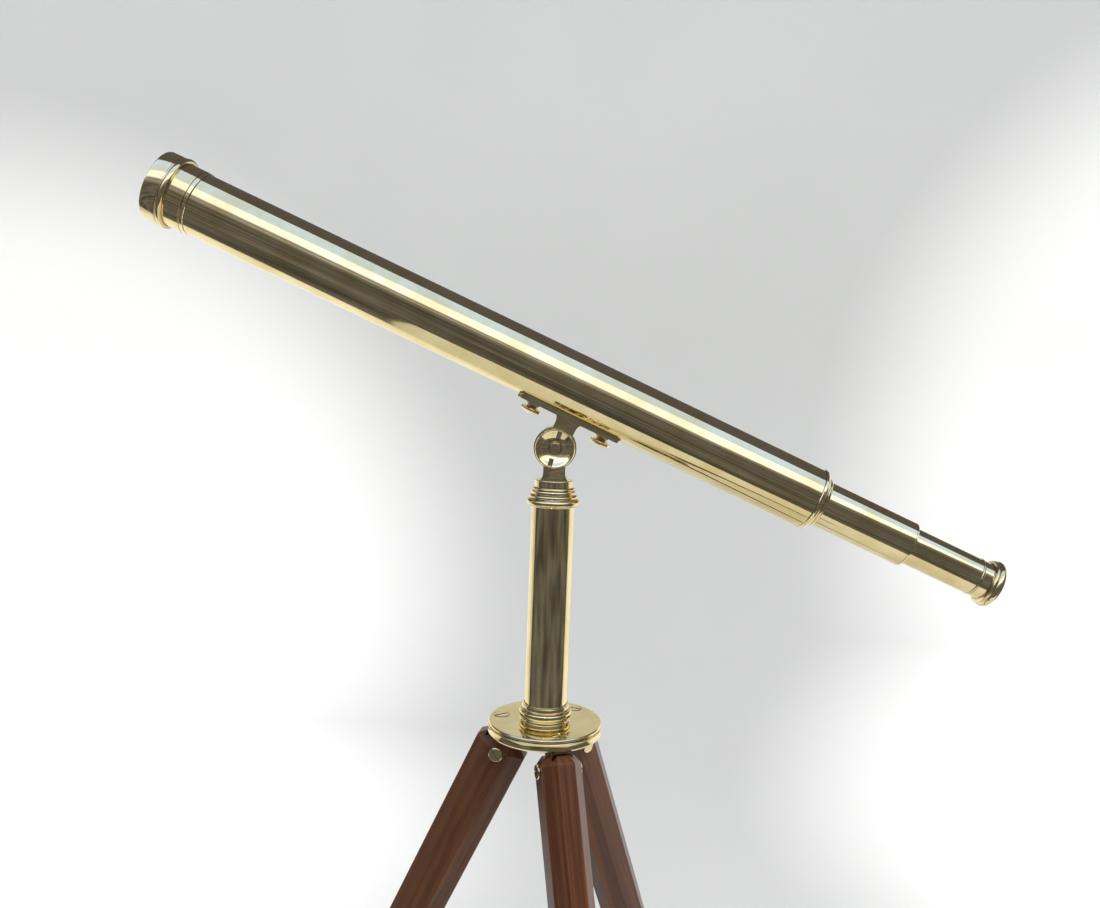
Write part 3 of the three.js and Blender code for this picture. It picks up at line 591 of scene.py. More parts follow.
# ---------------------------------------------------------------- objective end
seat = BARREL_FRONT - 6
optic("objective_cell_turned", [
    (BARREL_FRONT + 12, CELL_BORE), (BARREL_FRONT + 12, BARREL_BORE - GAP),
    (BARREL_FRONT - GAP, BARREL_BORE - GAP), (BARREL_FRONT - GAP, BARREL_RADIUS + 0.3),
    (BARREL_FRONT - 0.8, BARREL_RADIUS + 0.8, 0.4), (BARREL_FRONT - 3.8, BARREL_RADIUS + 0.8, 0.4),
    (BARREL_FRONT - 4.3, BARREL_RADIUS + 0.3), (BARREL_FRONT - 4.7, BARREL_RADIUS + 0.3),
    (BARREL_FRONT - 5, COLLAR_RADIUS), (COLLAR_FRONT, COLLAR_RADIUS, 0.8),
    (COLLAR_FRONT, LENS_BORE, 0.5), (seat, LENS_BORE), (seat, CELL_BORE),
], "barrel", TUBE_BRASS, "objective_cell")

lens_radius = LENS_BORE - GAP
flint_back = seat - GAP
flint_front = flint_back - 4
crown_back = flint_front - GAP
LENS_STEPS = (0.85, 0.7, 0.55, 0.4, 0.25, 0.12)


def ground_face(tip, depth):
    """An objective lens face, from near its edge in towards its tip, depth further along than the edge."""
    return [(tip - depth * s * s, lens_radius * s) for s in LENS_STEPS]


optic("objective_flint_turned", [
    (flint_back, 0), (flint_back, lens_radius, 0.4), (flint_front - 1.6, lens_radius, 0.4),
    *ground_face(flint_front, 1.6), (flint_front, 0),
], "barrel", GLASS, "objective_flint_lens", MEDIUM)
optic("objective_crown_turned", [
    (crown_back, 0), *reversed(ground_face(crown_back, 1.6)), (crown_back - 1.6, lens_radius, 0.4),
    (crown_back - 4, lens_radius, 0.4), *ground_face(crown_back - 7.3, -3.3), (crown_back - 7.3, 0),
], "barrel", GLASS, "objective_crown_lens", MEDIUM)

ring_back = crown_back - 4 - 2 * GAP
optic("objective_retainer_turned", [
    (ring_back, lens_radius - 1.2), (ring_back, lens_radius), (ring_back - 5, lens_radius, 0.4),
    (ring_back - 5, lens_radius - 2.6, 0.4), (ring_back - 2, lens_radius - 2.6),
], "barrel", BLACK, "objective_retaining_ring")

bore = COLLAR_RADIUS + GAP
optic("objective_cap_turned", [
    (CAP_FRONT, 0), (CAP_FRONT, CAP_RADIUS - 1.6, 0.4), (CAP_FRONT + 0.5, CAP_RADIUS - 0.5, 0.5),
    (CAP_FRONT + 1.6, CAP_RADIUS, 0.8), (CAP_MOUTH - 6, CAP_RADIUS, 0.2),
    (CAP_MOUTH - 5.8, CAP_RADIUS + 0.3, 0.2), (CAP_MOUTH - 5.2, CAP_RADIUS + 0.3, 0.2),
    (CAP_MOUTH - 5, CAP_RADIUS - 0.5, 0.1),
    *bead(CAP_MOUTH - 4.9, CAP_MOUTH, CAP_RADIUS - 0.4, CAP_BEAD_RADIUS), (CAP_MOUTH, bore, 0.3),
    (COLLAR_FRONT - GAP, bore), (COLLAR_FRONT - GAP, 0),
], "objective_cap", TUBE_BRASS, "objective_cap")

# ---------------------------------------------------------------- barrel
tube = sleeve(BARREL_FRONT, BARREL_BACK, BARREL_BORE, BARREL_RADIUS)
optic("main_barrel_tube", tube, "barrel", TUBE_BRASS, "main_barrel", FINE, 0.12)

guide_bore = DRAW_ONE_RADIUS + GAP
optic("barrel_end_ring_turned", [
    (208, guide_bore), (208, guide_bore + 1.5), (BARREL_BACK - 2, guide_bore + 1.5),
    (BARREL_BACK - 8, BARREL_BORE - GAP - 1.6), (BARREL_BACK - 12, BARREL_BORE - GAP - 1.6),
    (BARREL_BACK - 12, BARREL_BORE - GAP), (BARREL_BACK + GAP, BARREL_BORE - GAP),
    (BARREL_BACK + GAP, BARREL_RADIUS + 0.4), (BARREL_BACK + 0.9, BARREL_RADIUS + 0.95, 0.6),
    (BARREL_BACK + 2.6, BARREL_RADIUS + 0.8, 0.8),
    *arc((BARREL_BACK + 3.1, BARREL_RADIUS + 0.3), (BARREL_BACK + 6.6, BARREL_RADIUS - 3.3), 0.5, 6),
    (BARREL_BACK + 6.9, BARREL_RADIUS - 3.9, 0.1),
    *arc((BARREL_BACK + 7.8, BARREL_RADIUS - 3.9), (BARREL_BACK + 10.4, BARREL_RADIUS - 6.1), 0.45, 6),
    (BARREL_BACK + 10.5, guide_bore, 0.1),
], "barrel", TURNED_BRASS, "barrel_end_ring")

# ---------------------------------------------------------------- draw tubes
flange = 1.5
tube = sleeve(DRAW_ONE_FRONT, DRAW_ONE_BACK - flange - GAP, DRAW_ONE_BORE, DRAW_ONE_RADIUS)
optic("draw_tube_1_tube", tube, "draw_1", TUBE_BRASS, "draw_tube_1")
bush_bore = DRAW_TWO_RADIUS + GAP
optic("draw_tube_1_bush_turned", [
    (DRAW_ONE_BACK - 29, bush_bore), (DRAW_ONE_BACK - 29, DRAW_ONE_BORE - GAP),
    (DRAW_ONE_BACK - flange, DRAW_ONE_BORE - GAP), (DRAW_ONE_BACK - flange, DRAW_ONE_RADIUS, 0.1),
    (DRAW_ONE_BACK, DRAW_ONE_RADIUS, 0.45), (DRAW_ONE_BACK, bush_bore, 0.25),
], "draw_1", TURNED_BRASS, "draw_tube_1_end_bush")
tube = sleeve(DRAW_TWO_FRONT, DRAW_TWO_BACK, DRAW_TWO_BORE, DRAW_TWO_RADIUS)
optic("draw_tube_2_tube", tube, "draw_2", TUBE_BRASS, "draw_tube_2")

# ---------------------------------------------------------------- eyepiece
shoulder = DRAW_TWO_BACK + GAP
cap_seat = shoulder + 1.9
thread = 16.0
optic("eyepiece_body_turned", [
    (DRAW_TWO_BACK - 13, 13.6), (DRAW_TWO_BACK - 13, DRAW_TWO_BORE - GAP),
    (shoulder, DRAW_TWO_BORE - GAP), (shoulder, DRAW_TWO_RADIUS),
    *bead(shoulder + 0.1, shoulder + 1.4, DRAW_TWO_RADIUS, DRAW_TWO_RADIUS + 0.45, 8),
    (cap_seat, DRAW_TWO_RADIUS), (cap_seat, thread), (cap_seat + 6, thread), (cap_seat + 6, 8.8),
    (cap_seat + 2, 8.8), (cap_seat + 2, 7.4), (cap_seat + 0.5, 7.4), (cap_seat + 0.5, 13.6),
], "draw_2", TURNED_BRASS, "eyepiece_body")

cap_front = cap_seat + GAP
wall = cap_seat + 6 + GAP
optic("eye_cap_turned", [
    (cap_front, thread + GAP), (cap_front, DRAW_TWO_RADIUS, 0.08), (RIM_START, DRAW_TWO_RADIUS, 0.5),
    (RIM_START + 0.3, RIM_RADIUS - 2.2, 0.5),
    *arc((RIM_START + 0.8, RIM_RADIUS - 1.6), (RIM_START + 2.7, RIM_RADIUS - 1.6), 0.35, 6),
    (RIM_START + 3, RIM_RADIUS - 2.2, 0.2),
    *arc((RIM_START + 3.3, RIM_RADIUS - 1.5), (EYEPIECE_BACK - 0.4, RIM_RADIUS - 1.3), 1.35, 12),
    (EYEPIECE_BACK, RIM_RADIUS - 3, 0.5),
    *arc((EYEPIECE_BACK - 0.5, RIM_RADIUS - 5), (EYEPIECE_BACK - 3.6, 8.5), -0.6, 8),
    (EYEPIECE_BACK - 4, 6, 0.4), (wall, 6), (wall, thread + GAP),
], "draw_2", TURNED_BRASS, "eye_cap")


def biconvex(name, middle, radius, edge, bulge, node):
    """A lens with two equal curved faces."""
    outline = [(middle - edge / 2 - bulge, 0)]
    outline += [(middle - edge / 2 - bulge * (1 - s * s), radius * s) for s in reversed(LENS_STEPS)]
    outline += [(middle - edge / 2, radius, 0.2), (middle + edge / 2, radius, 0.2)]
    outline += [(middle + edge / 2 + bulge * (1 - s * s), radius * s) for s in LENS_STEPS]
    outline += [(middle + edge / 2 + bulge, 0)]
    optic(name, outline, "draw_2", GLASS, node, MEDIUM)


biconvex("field_lens_ground", DRAW_TWO_BACK - 8, 13.6 - GAP, 2, 1.6, "field_lens")
biconvex("eye_lens_ground", cap_seat + 4, 8.8 - GAP, 1.6, 0.8, "eye_lens")

# ---------------------------------------------------------------- cradle and thumbscrews
def web_outline(half, seat_half, seat, side):
    """A web that flares from the knuckle to a wider seat, as (x, z) points."""
    points = []
    steps = 10
    for k in range(steps + 1):
        s = k / steps
        x = (1 - s) ** 2 * seat_half + 2 * s * (1 - s) * half + s * s * half
        z = (1 - s) ** 2 * seat + 2 * s * (1 - s) * (seat - 3) + s * s * (seat - 8)
        points.append((x, side * z))
    right = points + [(half, 0)]
    return right + [(-x, z) for x, z in reversed(right)]


def as_zx(points):
    """Prism outlines across Y are in (z, x) order."""
    return [(z, x) for x, z in points]


plate_top = CRADLE_BOTTOM + 5.6
x, y, c = CRADLE_LENGTH / 2, CRADLE_WIDTH / 2, CRADLE_CORNER
clipped = [
    (-x + c, -y), (x - c, -y), (x, -y + c), (x, y - c), (x - c, y), (-x + c, y), (-x, y - c), (-x, -y + c)
]
cradle = prism("cradle_casting", clipped, "Z", CRADLE_BOTTOM, plate_top, TILT_FRAME)
web = as_zx(web_outline(10, 13, CRADLE_BOTTOM + 0.5, 1))
cradle_web = prism("web", web, "Y", -LEAF_HALF, LEAF_HALF, TILT_FRAME)
knuckle = bar(KNUCKLE_RADIUS, -LEAF_HALF, LEAF_HALF, "Y", TILT_FRAME, KNUCKLE_SEGMENTS)
barrel_seat = bar(BARREL_RADIUS + GAP, -90, 90, "X", OPTICS, 192)
carve(cradle, "UNION", cradle_web, knuckle)
carve(cradle, "DIFFERENCE", barrel_seat)
carve(cradle, "DIFFERENCE", bar(BOLT_RADIUS + GAP, -THROUGH, THROUGH, "Y", TILT_FRAME))
THUMB_FRAMES = {node: TILT_FRAME @ Matrix.Translation((x * MM, 0, 0)) for node, x in THUMB_PLACES.items()}
for here in THUMB_FRAMES.values():
    carve(cradle, "DIFFERENCE", bar(THUMB_SHANK + GAP, CRADLE_BOTTOM - 5, 60, "Z", here, 32))
soften(cradle, 1.1, 50.0, 4)
mounted(cradle, "barrel", CAST_BRASS, "cradle")

top = CRADLE_BOTTOM - GAP
for node, here in THUMB_FRAMES.items():
    screw = lathe(node + "_turned", [
        (AXIS_RISE - 24.4, 0), (AXIS_RISE - 24.4, THUMB_SHANK, 0.3), (top, THUMB_SHANK),
        (top, 7.1, 0.25), (top - 1.4, 7.1, 0.5), (top - 2.1, 4.9, 0.5), (top - 3.6, 4.9, 0.6),
        (top - 4.6, 9.0, 0.5), (top - 5.5, 9.8, 0.6), (top - 7.1, 9.8, 0.6), (top - 8.1, 8.6, 0.6),
        (top - 8.6, 6.4, 0.5), (top - 10, 3.6, 0.8), (top - 10.4, 0),
    ], "Z", here, MEDIUM)
    mounted(screw, node, TURNED_BRASS, node)

# ---------------------------------------------------------------- tilt joint
head_from = EAR_OUTER + 0.1
nut_end = head_from + NUT_THICKNESS
bolt_end = 2.6 - nut_end
bolt = lathe("tilt_bolt_turned", [
    (bolt_end, 0), (bolt_end, BOLT_RADIUS - 0.7, 0.2), (bolt_end + 0.7, BOLT_RADIUS, 0.5),
    (head_from, BOLT_RADIUS), (head_from, 15, 0.3), (head_from + 3, 15, 1.2),
    (head_from + 4.6, 13, 2.0), (head_from + 5, 0),
], "Y", JOINT, KNUCKLE_SEGMENTS)
slotted(bolt, (-20, head_from + 2.8, -0.9), (20, head_from + 8, 0.9), JOINT, 0.15, "pillar", "tilt_bolt")


def dish_depth(radius):
    """How far the nut's hollowed face lies below its rim."""
    return math.sqrt(NUT_DISH**2 - radius**2) - math.sqrt(NUT_DISH**2 - NUT_DISH_RIM**2)


nut = lathe("tilt_nut_turned", [
    (-head_from, BOLT_RADIUS + GAP), (-head_from, NUT_RADIUS - 0.6),
    (-head_from - 0.8, NUT_RADIUS, 0.4), (-nut_end + 1.2, NUT_RADIUS, 0.9),
    (-nut_end, NUT_RADIUS - 0.9, 0.5), (-nut_end, NUT_DISH_RIM + 0.4, 0.3),
    *[(-nut_end + dish_depth(r), r) for r in (15.6, 14.4, 13.2, 12, 10.8, 9.6, 8.4, 7.2, 6.4)],
    (-nut_end + dish_depth(6), BOLT_RADIUS + GAP, 0.2),
], "Y", JOINT, FINE)
NUT_TURN = math.radians(15)
for k in range(4):
    turn = Matrix.Rotation(NUT_TURN + k * math.pi / 2, 4, "Y")
    cutter = block((-2.1, -nut_end - 2, 9.6), (2.1, -head_from - 1.6, NUT_DISH_RIM), JOINT @ turn)
    carve(nut, "DIFFERENCE", cutter)
soften(nut, 0.18)
mounted(nut, "tilt_nut", TURNED_BRASS, "tilt_nut")

# ---------------------------------------------------------------- pillar
spigot = PILLAR_TOP - 16
head = lathe("pillar_head_turned", [
    (spigot, 0), (spigot, PILLAR_BORE - GAP), (PILLAR_TOP + GAP, PILLAR_BORE - GAP),
    (PILLAR_TOP + GAP, 22.4, 0.3), (PILLAR_TOP + 1.2, 23.4, 0.3),
    *bead(PILLAR_TOP + 1.4, PILLAR_TOP + 6.8, 22.8, RING_RADIUS), (PILLAR_TOP + 7.2, 22.4, 0.25),
    *bead(PILLAR_TOP + 7.5, PILLAR_TOP + 10.7, 21.3, 22.5, 8), (PILLAR_TOP + 11.1, 20.7, 0.25),
    *bead(PILLAR_TOP + 11.4, PILLAR_TOP + 14.9, 19.9, 20.9, 8), (PILLAR_TOP + 15.3, 19.2, 0.25),
    *bead(PILLAR_TOP + 15.5, PILLAR_TOP + 17.3, 18.6, 19.8, 6), (PILLAR_TOP + 17.6, 17.9, 0.3),
    (HEAD_TOP, 17.9, 0.8), (HEAD_TOP, 0),
], "Z", PLATE)
neck_seat = PIVOT_RISE - HEAD_TOP + 0.5
neck = as_zx(web_outline(10, 13.4, neck_seat, -1))
fork = prism("fork", neck, "Y", -EAR_OUTER, EAR_OUTER, JOINT)
ears = bar(KNUCKLE_RADIUS, -EAR_OUTER, EAR_OUTER, "Y", JOINT, KNUCKLE_SEGMENTS)
carve(fork, "UNION", ears)
slot_floor = -KNUCKLE_RADIUS - 1.4
fork_slot = block((-30, -EAR_INNER, slot_floor), (30, EAR_INNER, 30), JOINT)
fork_hole = bar(BOLT_RADIUS + GAP, -THROUGH, THROUGH, "Y", JOINT)
carve(fork, "DIFFERENCE", fork_slot, fork_hole)
soften(fork, 0.9, 50.0, 3)
carve(head, "UNION", fork)
carve(head, "DIFFERENCE", bar(ROD_RADIUS + GAP, spigot - 5, spigot + 14, "Z", PLATE))
soften(head, 0.2, 42.0)
mounted(head, "pillar", TURNED_BRASS, "pillar_head")

tube = sleeve(PILLAR_FOOT, PILLAR_TOP, PILLAR_BORE, PILLAR_RADIUS)
tube = lathe("pillar_tube_drawn", tube, "Z", PLATE, FINE, 0.2)
mounted(tube, "pillar", PILLAR_BRASS, "pillar_tube")

# ---------------------------------------------------------------- tripod top
bore = PILLAR_RADIUS + GAP
collar = lathe("pillar_collar_turned", [
    (0.1, bore), (0.1, 24.0, 0.3), (1.5, 24.0, 0.4), (2.0, 23.0, 0.3),
    *arc((2.2, 22.9), (4.9, 23.3), -0.35, 6), *bead(5.2, 11, 23.4, RING_RADIUS), (11.3, 21.7, 0.3),
    *arc((11.8, 21.9), (16.3, 21.6), 0.55, 8), (16.6, 21.1, 0.2), (COLLAR_TOP, 21.1, 0.35),
    (COLLAR_TOP, bore, 0.15),
], "Z", PLATE)
mounted(collar, "tripod_top", TURNED_BRASS, "pillar_collar")

bottom = -PLATE_THICKNESS
plate = lathe("tripod_plate_turned", [
    (0, 0), (0, PLATE_RADIUS - 1.7, 0.7), (-0.8, PLATE_RADIUS - 0.9, 0.5),
    (-2.1, PLATE_RADIUS - 0.9, 0.5), (-2.7, PLATE_RADIUS - 1.8, 0.15),
    (-3.2, PLATE_RADIUS - 1.8, 0.15), (-3.7, PLATE_RADIUS - 0.5, 0.6),
    *arc((-4.2, PLATE_RADIUS - 0.25), (-9.6, PLATE_RADIUS - 0.5), 0.35, 8),
    (bottom, PLATE_RADIUS - 1.3, 0.8), (bottom, 0),
], "Z", PLATE, PLATE_SEGMENTS)
screw_places = []
for k in range(3):
    joint = joints[f"leg_{k + 1}_fold"]
    outward = Vector(joint["axis"]).normalized().cross(Z)
    screw_places.append(PLATE @ Matrix.Translation(outward * SCREW_CIRCLE * MM))
for place in screw_places:
    sink = lathe("sink", [
        (bottom - 1, 0), (bottom - 1, SCREW_RADIUS + GAP), (-5.1, SCREW_RADIUS + GAP),
        (-0.6, SCREW_HEAD_RADIUS + GAP), (1, SCREW_HEAD_RADIUS + GAP), (1, 0),
    ], "Z", place, 64, SHARP)
    carve(plate, "DIFFERENCE", sink)
carve(plate, "DIFFERENCE", bar(ROD_RADIUS + GAP, -THROUGH, THROUGH, "Z", PLATE))
soften(plate, 0.22, 40.0, 3)
mounted(plate, "tripod_top", PLATE_BRASS, "tripod_plate")

for k, place in enumerate(screw_places):
    turned = place @ Matrix.Rotation(0.6 + 1.1 * k, 4, "Z")
    screw = lathe(f"plate_screw_{k + 1}_turned", [
        (bottom - 9, 0), (bottom - 9, SCREW_RADIUS - 0.6, 0.3), (bottom - 8.2, SCREW_RADIUS, 0.2),
        (-4.9, SCREW_RADIUS), (-0.5, SCREW_HEAD_RADIUS, 0.15), (-0.2, SCREW_HEAD_RADIUS, 0.2),
        (0.3, SCREW_HEAD_RADIUS - 0.8, 0.8), (0.5, 0),
    ], "Z", turned, MEDIUM)
    slotted(screw, (-12, -0.75, -1.0), (12, 0.75, 3), turned, 0.1, "tripod_top", f"plate_screw_{k + 1}")

# ---------------------------------------------------------------- legs
APOTHEM = math.cos(math.pi / 8)


def octagon(extra, fillet):
    """The leg's eight-sided section with softened corners, as (x, y, normal, wear) at full size."""
    grow_x = 1 + 2 * extra / LEG_DEPTH
    grow_y = (LEG_WIDTH + 2 * extra) / LEG_DEPTH
    r = LEG_DEPTH / 2 / APOTHEM
    angles = [math.pi / 8 + k * math.pi / 4 for k in range(8)]
    corners = [(r * math.cos(a) * grow_x, r * math.sin(a) * grow_y) for a in angles]
    lifted = [(a, b + 1000.0) for a, b in corners]
    return [(a, b - 1000.0, n, w) for a, b, n, w in rounded(lifted, fillet)]


def tapered(name, profile, matrix, extra=0.0, fillet=1.0, turn=0.3):
    """An eight-sided bar. profile is an outline of (height, scale) points from the axis back to it."""
    section = octagon(extra, fillet)
    half = LEG_DEPTH / 2
    rows = rounded([(h, s * half) + tuple(rest) for h, s, *rest in profile], turn, support=3.0)
    verts, wear, rings = [], [], []
    for height, reach, _, worn in rows:
        scale = reach / half
        if scale < 1e-6:
            rings.append([len(verts)])
            verts.append(Vector((0, 0, height)))
            wear.append(0.0)
            continue
        ring = []
        for sx, sy, _, corner in section:
            ring.append(len(verts))
            verts.append(Vector((sx * scale, sy * scale, height)))
            wear.append(max(worn, corner))
        rings.append(ring)
    faces = strips(zip(rings, rings[1:]), len(section))
    obj = new_object(name, verts, faces, matrix, None, wear)
    bm = bmesh.new()
    bm.from_mesh(obj.data)
    bmesh.ops.recalc_face_normals(bm, faces=bm.faces)
    bm.to_mesh(obj.data)
    bm.free()
    return obj


def taper_at(down):
    """The leg's scale at a distance down it."""
    return 1 - (1 - LEG_TAPER) * down / LEG_LENGTH


def add_leg(number):
    """One wooden leg with its pivot screw and nut, its ferrule and its rubber tip."""
    here = leg_frame(number)
    body = f"leg_{number}"
    bevel_scale = 1 - 2 * LEG_BEVEL / LEG_DEPTH
    leg = tapered(f"leg_{number}_turned", [
        (LEG_RISE, 0), (LEG_RISE, bevel_scale, 1.0), (LEG_RISE - LEG_BEVEL, 1, 1.2),
        (-LEG_LENGTH, LEG_TAPER, 0.3), (-LEG_LENGTH, 0),
    ], here)
    half = LUG_WIDTH / 2 + GAP
    mortise = block((-LUG_HALF - 1.7, -half, -LUG_HALF - 1.5), (18, half, LEG_RISE + 10), here)
    carve(leg, "DIFFERENCE", mortise)
    carve(leg, "DIFFERENCE", bar(PIN_RADIUS + GAP, -LEG_THROUGH, LEG_THROUGH, "Y", here, SMALL))
    carve(leg, "DIFFERENCE", bar(SLEEVE_RADIUS + GAP, LEG_WIDTH / 2 - 7.4, LEG_THROUGH, "Y", here, SMALL))
    soften(leg, 0.5, 50.0)
    mounted(leg, body, WOOD, body)

    face = LEG_WIDTH / 2 + GAP
    tall = face + PIN_HEAD_HEIGHT
    rim = PIN_HEAD_RADIUS - 0.7
    turned = here @ Matrix.Rotation(-1.22 + 0.7 * number, 4, "Y")
    screw = lathe(f"leg_pivot_screw_{number}_turned", [
        (-tall, 0), (-tall, rim, 0.4), (-tall + 0.6, PIN_HEAD_RADIUS, 0.4),
        (-face, PIN_HEAD_RADIUS, 0.1), (-face, PIN_RADIUS), (face - 2.5, PIN_RADIUS, 0.3),
        (face - 2.5, 0),
    ], "Y", turned, SMALL)
    low, high = (-10, -tall - 1, -0.7), (10, -tall + 1, 0.7)
    slotted(screw, low, high, turned, 0.1, body, f"leg_pivot_screw_{number}")
    nut = lathe(f"leg_pivot_nut_{number}_turned", [
        (LEG_WIDTH / 2 - 7, PIN_RADIUS + GAP), (LEG_WIDTH / 2 - 7, SLEEVE_RADIUS),
        (face, SLEEVE_RADIUS), (face, PIN_HEAD_RADIUS, 0.1), (tall - 0.6, PIN_HEAD_RADIUS, 0.4),
        (tall, rim, 0.4), (tall, 0), (face - 1.6, 0),
        (face - 1.6, PIN_RADIUS + GAP),
    ], "Y", turned, SMALL)
    low, high = (-10, tall - 1, -0.7), (10, tall + 1, 0.7)
    slotted(nut, low, high, turned, 0.1, body, f"leg_pivot_nut_{number}")

    mouth = LEG_LENGTH - FERRULE_LENGTH
    end = LEG_LENGTH + GAP
    ferrule = tapered(f"foot_ferrule_{number}_formed", [
        (-mouth, 0), (-mouth, taper_at(mouth), 0.5), (-end - 3, LEG_TAPER, 2.0),
        (-end - 8, LEG_TAPER * 0.8, 1.5), (-end - 8, 0),
    ], here, GAP + FERRULE_WALL, 1.8)
    inside = [(5 - mouth, 0), (5 - mouth, taper_at(mouth - 5)), (-end, LEG_TAPER), (-end, 0)]
    room = tapered("room", inside, here, GAP)
    carve(ferrule, "DIFFERENCE", room)
    soften(ferrule, 0.25, 50.0)
    mounted(ferrule, body, CAST_BRASS, f"foot_ferrule_{number}")

    low = -end - TIP_LENGTH * 2
    tip = lathe(f"foot_tip_{number}_moulded", [
        (-end - 8 - GAP, 0), (-end - 8 - GAP, TIP_RADIUS - 0.2, 0.8),
        *[
            (-end - 8 - GAP - 2.2 - 0.9 * k, TIP_RADIUS - (0.7 if k % 4 in (1, 2) else 0.2), 0.2)
            for k in range(9)
        ],
        (low, TIP_RADIUS - 0.2), (low, 0),
    ], "Z", here, MEDIUM)
    floor_side = here.inverted() @ Vector((here.translation.x, here.translation.y, 0.0))
    floor_up = here.to_3x3().inverted() @ Z
    bm = bmesh.new()
    bm.from_mesh(tip.data)
    whole = bm.verts[:] + bm.edges[:] + bm.faces[:]
    cut = bmesh.ops.bisect_plane(bm, geom=whole, plane_co=floor_side, plane_no=floor_up, clear_inner=True)
    edges = [e for e in cut["geom_cut"] if isinstance(e, bmesh.types.BMEdge)]
    bmesh.ops.contextual_create(bm, geom=edges)
    bmesh.ops.recalc_face_normals(bm, faces=bm.faces)
    bm.to_mesh(tip.data)
    bm.free()
    soften(tip, 0.3, 50.0)
    mounted(tip, body, RUBBER, f"foot_tip_{number}")


for number in (1, 2, 3):
    add_leg(number)

# ---------------------------------------------------------------- CAD nodes that stay, with their finishes
FINISHES = {
    "dark_brass": DARK_BRASS, "blackened": BLACK, "steel": STEEL, "glass": GLASS, "washer_leather": LEATHER
}
slot_of = {part["node"]: part["material_slot"] for part in frame["record"]["subparts"]}
for name, node in frame["nodes"].items():
    if node.hide_render:
        continue
    node.data.materials.clear()
    node.data.materials.append(FINISHES[slot_of[name]])
    if name.startswith("hinge_lug"):
        edges = node.modifiers.new("edges", "BEVEL")
        edges.width = 0.5 * MM
        edges.segments = 2
        edges.limit_method = "ANGLE"
        edges.angle_limit = math.radians(40)
        edges.harden_normals = True

# ---------------------------------------------------------------- camera
# A 32 mm lens 0.9 m in front of the pillar, a little above the tilt axis, looking slightly down.
FOCAL_LENGTH = 32.14
CAMERA_ANGLES = (-0.0208, 0.0973, 0.0374)  # yaw, pitch down and roll, in radians
STANDPOINT = (14.05, -897.9, 338.96)  # from the middle of the plate's top
camera_data = bpy.data.cameras.new("camera")
camera = bpy.data.objects.new("camera", camera_data)
bpy.context.scene.collection.objects.link(camera)
camera_data.sensor_width = 36.0
camera_data.lens = FOCAL_LENGTH
camera_data.clip_start = 0.01
yaw, pitch, roll = CAMERA_ANGLES
forward = Vector((math.sin(yaw) * math.cos(pitch), math.cos(yaw) * math.cos(pitch), -math.sin(pitch)))
level = Vector((math.cos(yaw), -math.sin(yaw), 0))
upright = level.cross(forward)
right = level * math.cos(roll) + upright * math.sin(roll)
above = upright * math.cos(roll) - level * math.sin(roll)
standpoint = PLATE.translation + Vector(STANDPOINT) * MM
camera.matrix_world = basis(standpoint, right, above, -forward)
bpy.context.scene.camera = camera

# ---------------------------------------------------------------- floor, backdrop and light
# Lengths in this section are metres.
ROOM_RADIUS = 3.6
ROOM_HEIGHT = 4.6
SWEEP_RADIUS = 1.4
# Painted pools of light on the sweep: centre, radius at full strength, radius where it has faded out
PAINTED_LIGHT_POOLS = (
    ((-2.2, 2.9, 0.2), 1.3, 2.15), ((-1.4, 1.6, 0.0), 0.8, 1.5), ((2.9, 2.5, 0.9), 1.35, 2.15),
    ((2.0, 1.8, 0.2), 0.85, 1.55),
)


def pale(name, low, high):
    """A pale matt sheet with broad, soft, paler pools of painted light on it."""
    g = Graph(name)
    broad = g.node("ShaderNodeTexNoise", {"Vector": g.coords, "Scale": 0.7, "Detail": 2.0}).outputs["Fac"]
    # The broad patches and the round pools are painted light: the sheet's colour is made paler there, not lit
    # more.
    painted_light = g.spread(broad, 0.3, 0.7, 0.0, 0.06)
    for centre, near, far in PAINTED_LIGHT_POOLS:
        away = g.vector("DISTANCE", g.coords, centre).outputs["Value"]
        painted_light = g.maths("MAXIMUM", painted_light, g.spread(away, far, near))
    colour = g.mix(painted_light, low, high)
    return g.surface({"Base Color": colour, "Roughness": 0.9, "Specular IOR Level": 0.1})


def room():
    """A floor that sweeps up all round into a wall."""
    sweep = SWEEP_RADIUS
    rows = [(0.0, 0.0), (0.5, 0.0), (1.5, 0.0), (ROOM_RADIUS - sweep, 0.0)]
    for k in range(1, 13):
        a = math.pi / 2 * k / 12
        rows.append((ROOM_RADIUS - sweep + sweep * math.sin(a), sweep - sweep * math.cos(a)))
    rows.append((ROOM_RADIUS, ROOM_HEIGHT))
    verts, faces = [Vector((0, 0, 0))], []
    count = 96
    for radius, height in rows[1:]:
        for k in range(count):
            a = 2 * math.pi * k / count
            verts.append(Vector((radius * math.cos(a), radius * math.sin(a), height)) / MM)
    for k in range(count):
        faces.append((0, 1 + k, 1 + (k + 1) % count))
    for i in range(len(rows) - 2):
        for k in range(count):
            n = (k + 1) % count
            a, b = 1 + i * count, 1 + (i + 1) * count
            faces.append((a + k, b + k, b + n, a + n))
    obj = new_object("studio_sweep", verts, faces, Matrix.Identity(4))
    obj.data.materials.append(pale("studio_white", (0.57, 0.575, 0.57), (0.93, 0.93, 0.92)))


room()

# The cards overhead: their height and half width, and where the bright, the cool and the dark one meet
CARD_HEIGHT = 2.7
CARD_REACH = 2.6
SOFTBOX_FRONT = -3.3
SOFTBOX_SPLIT = -0.95
SOFTBOX_BACK = 0.03
# The shade's strength where it meets the bright card, and the heights between which it rises to that
SHADE_TOP = 0.42
SHADE_RISE = (1.7, 2.25)
# The dark screen behind the telescope, which starts above what the plate's flat top reflects
REAR_FLAG = 1.0
REAR_LOW = 1.45


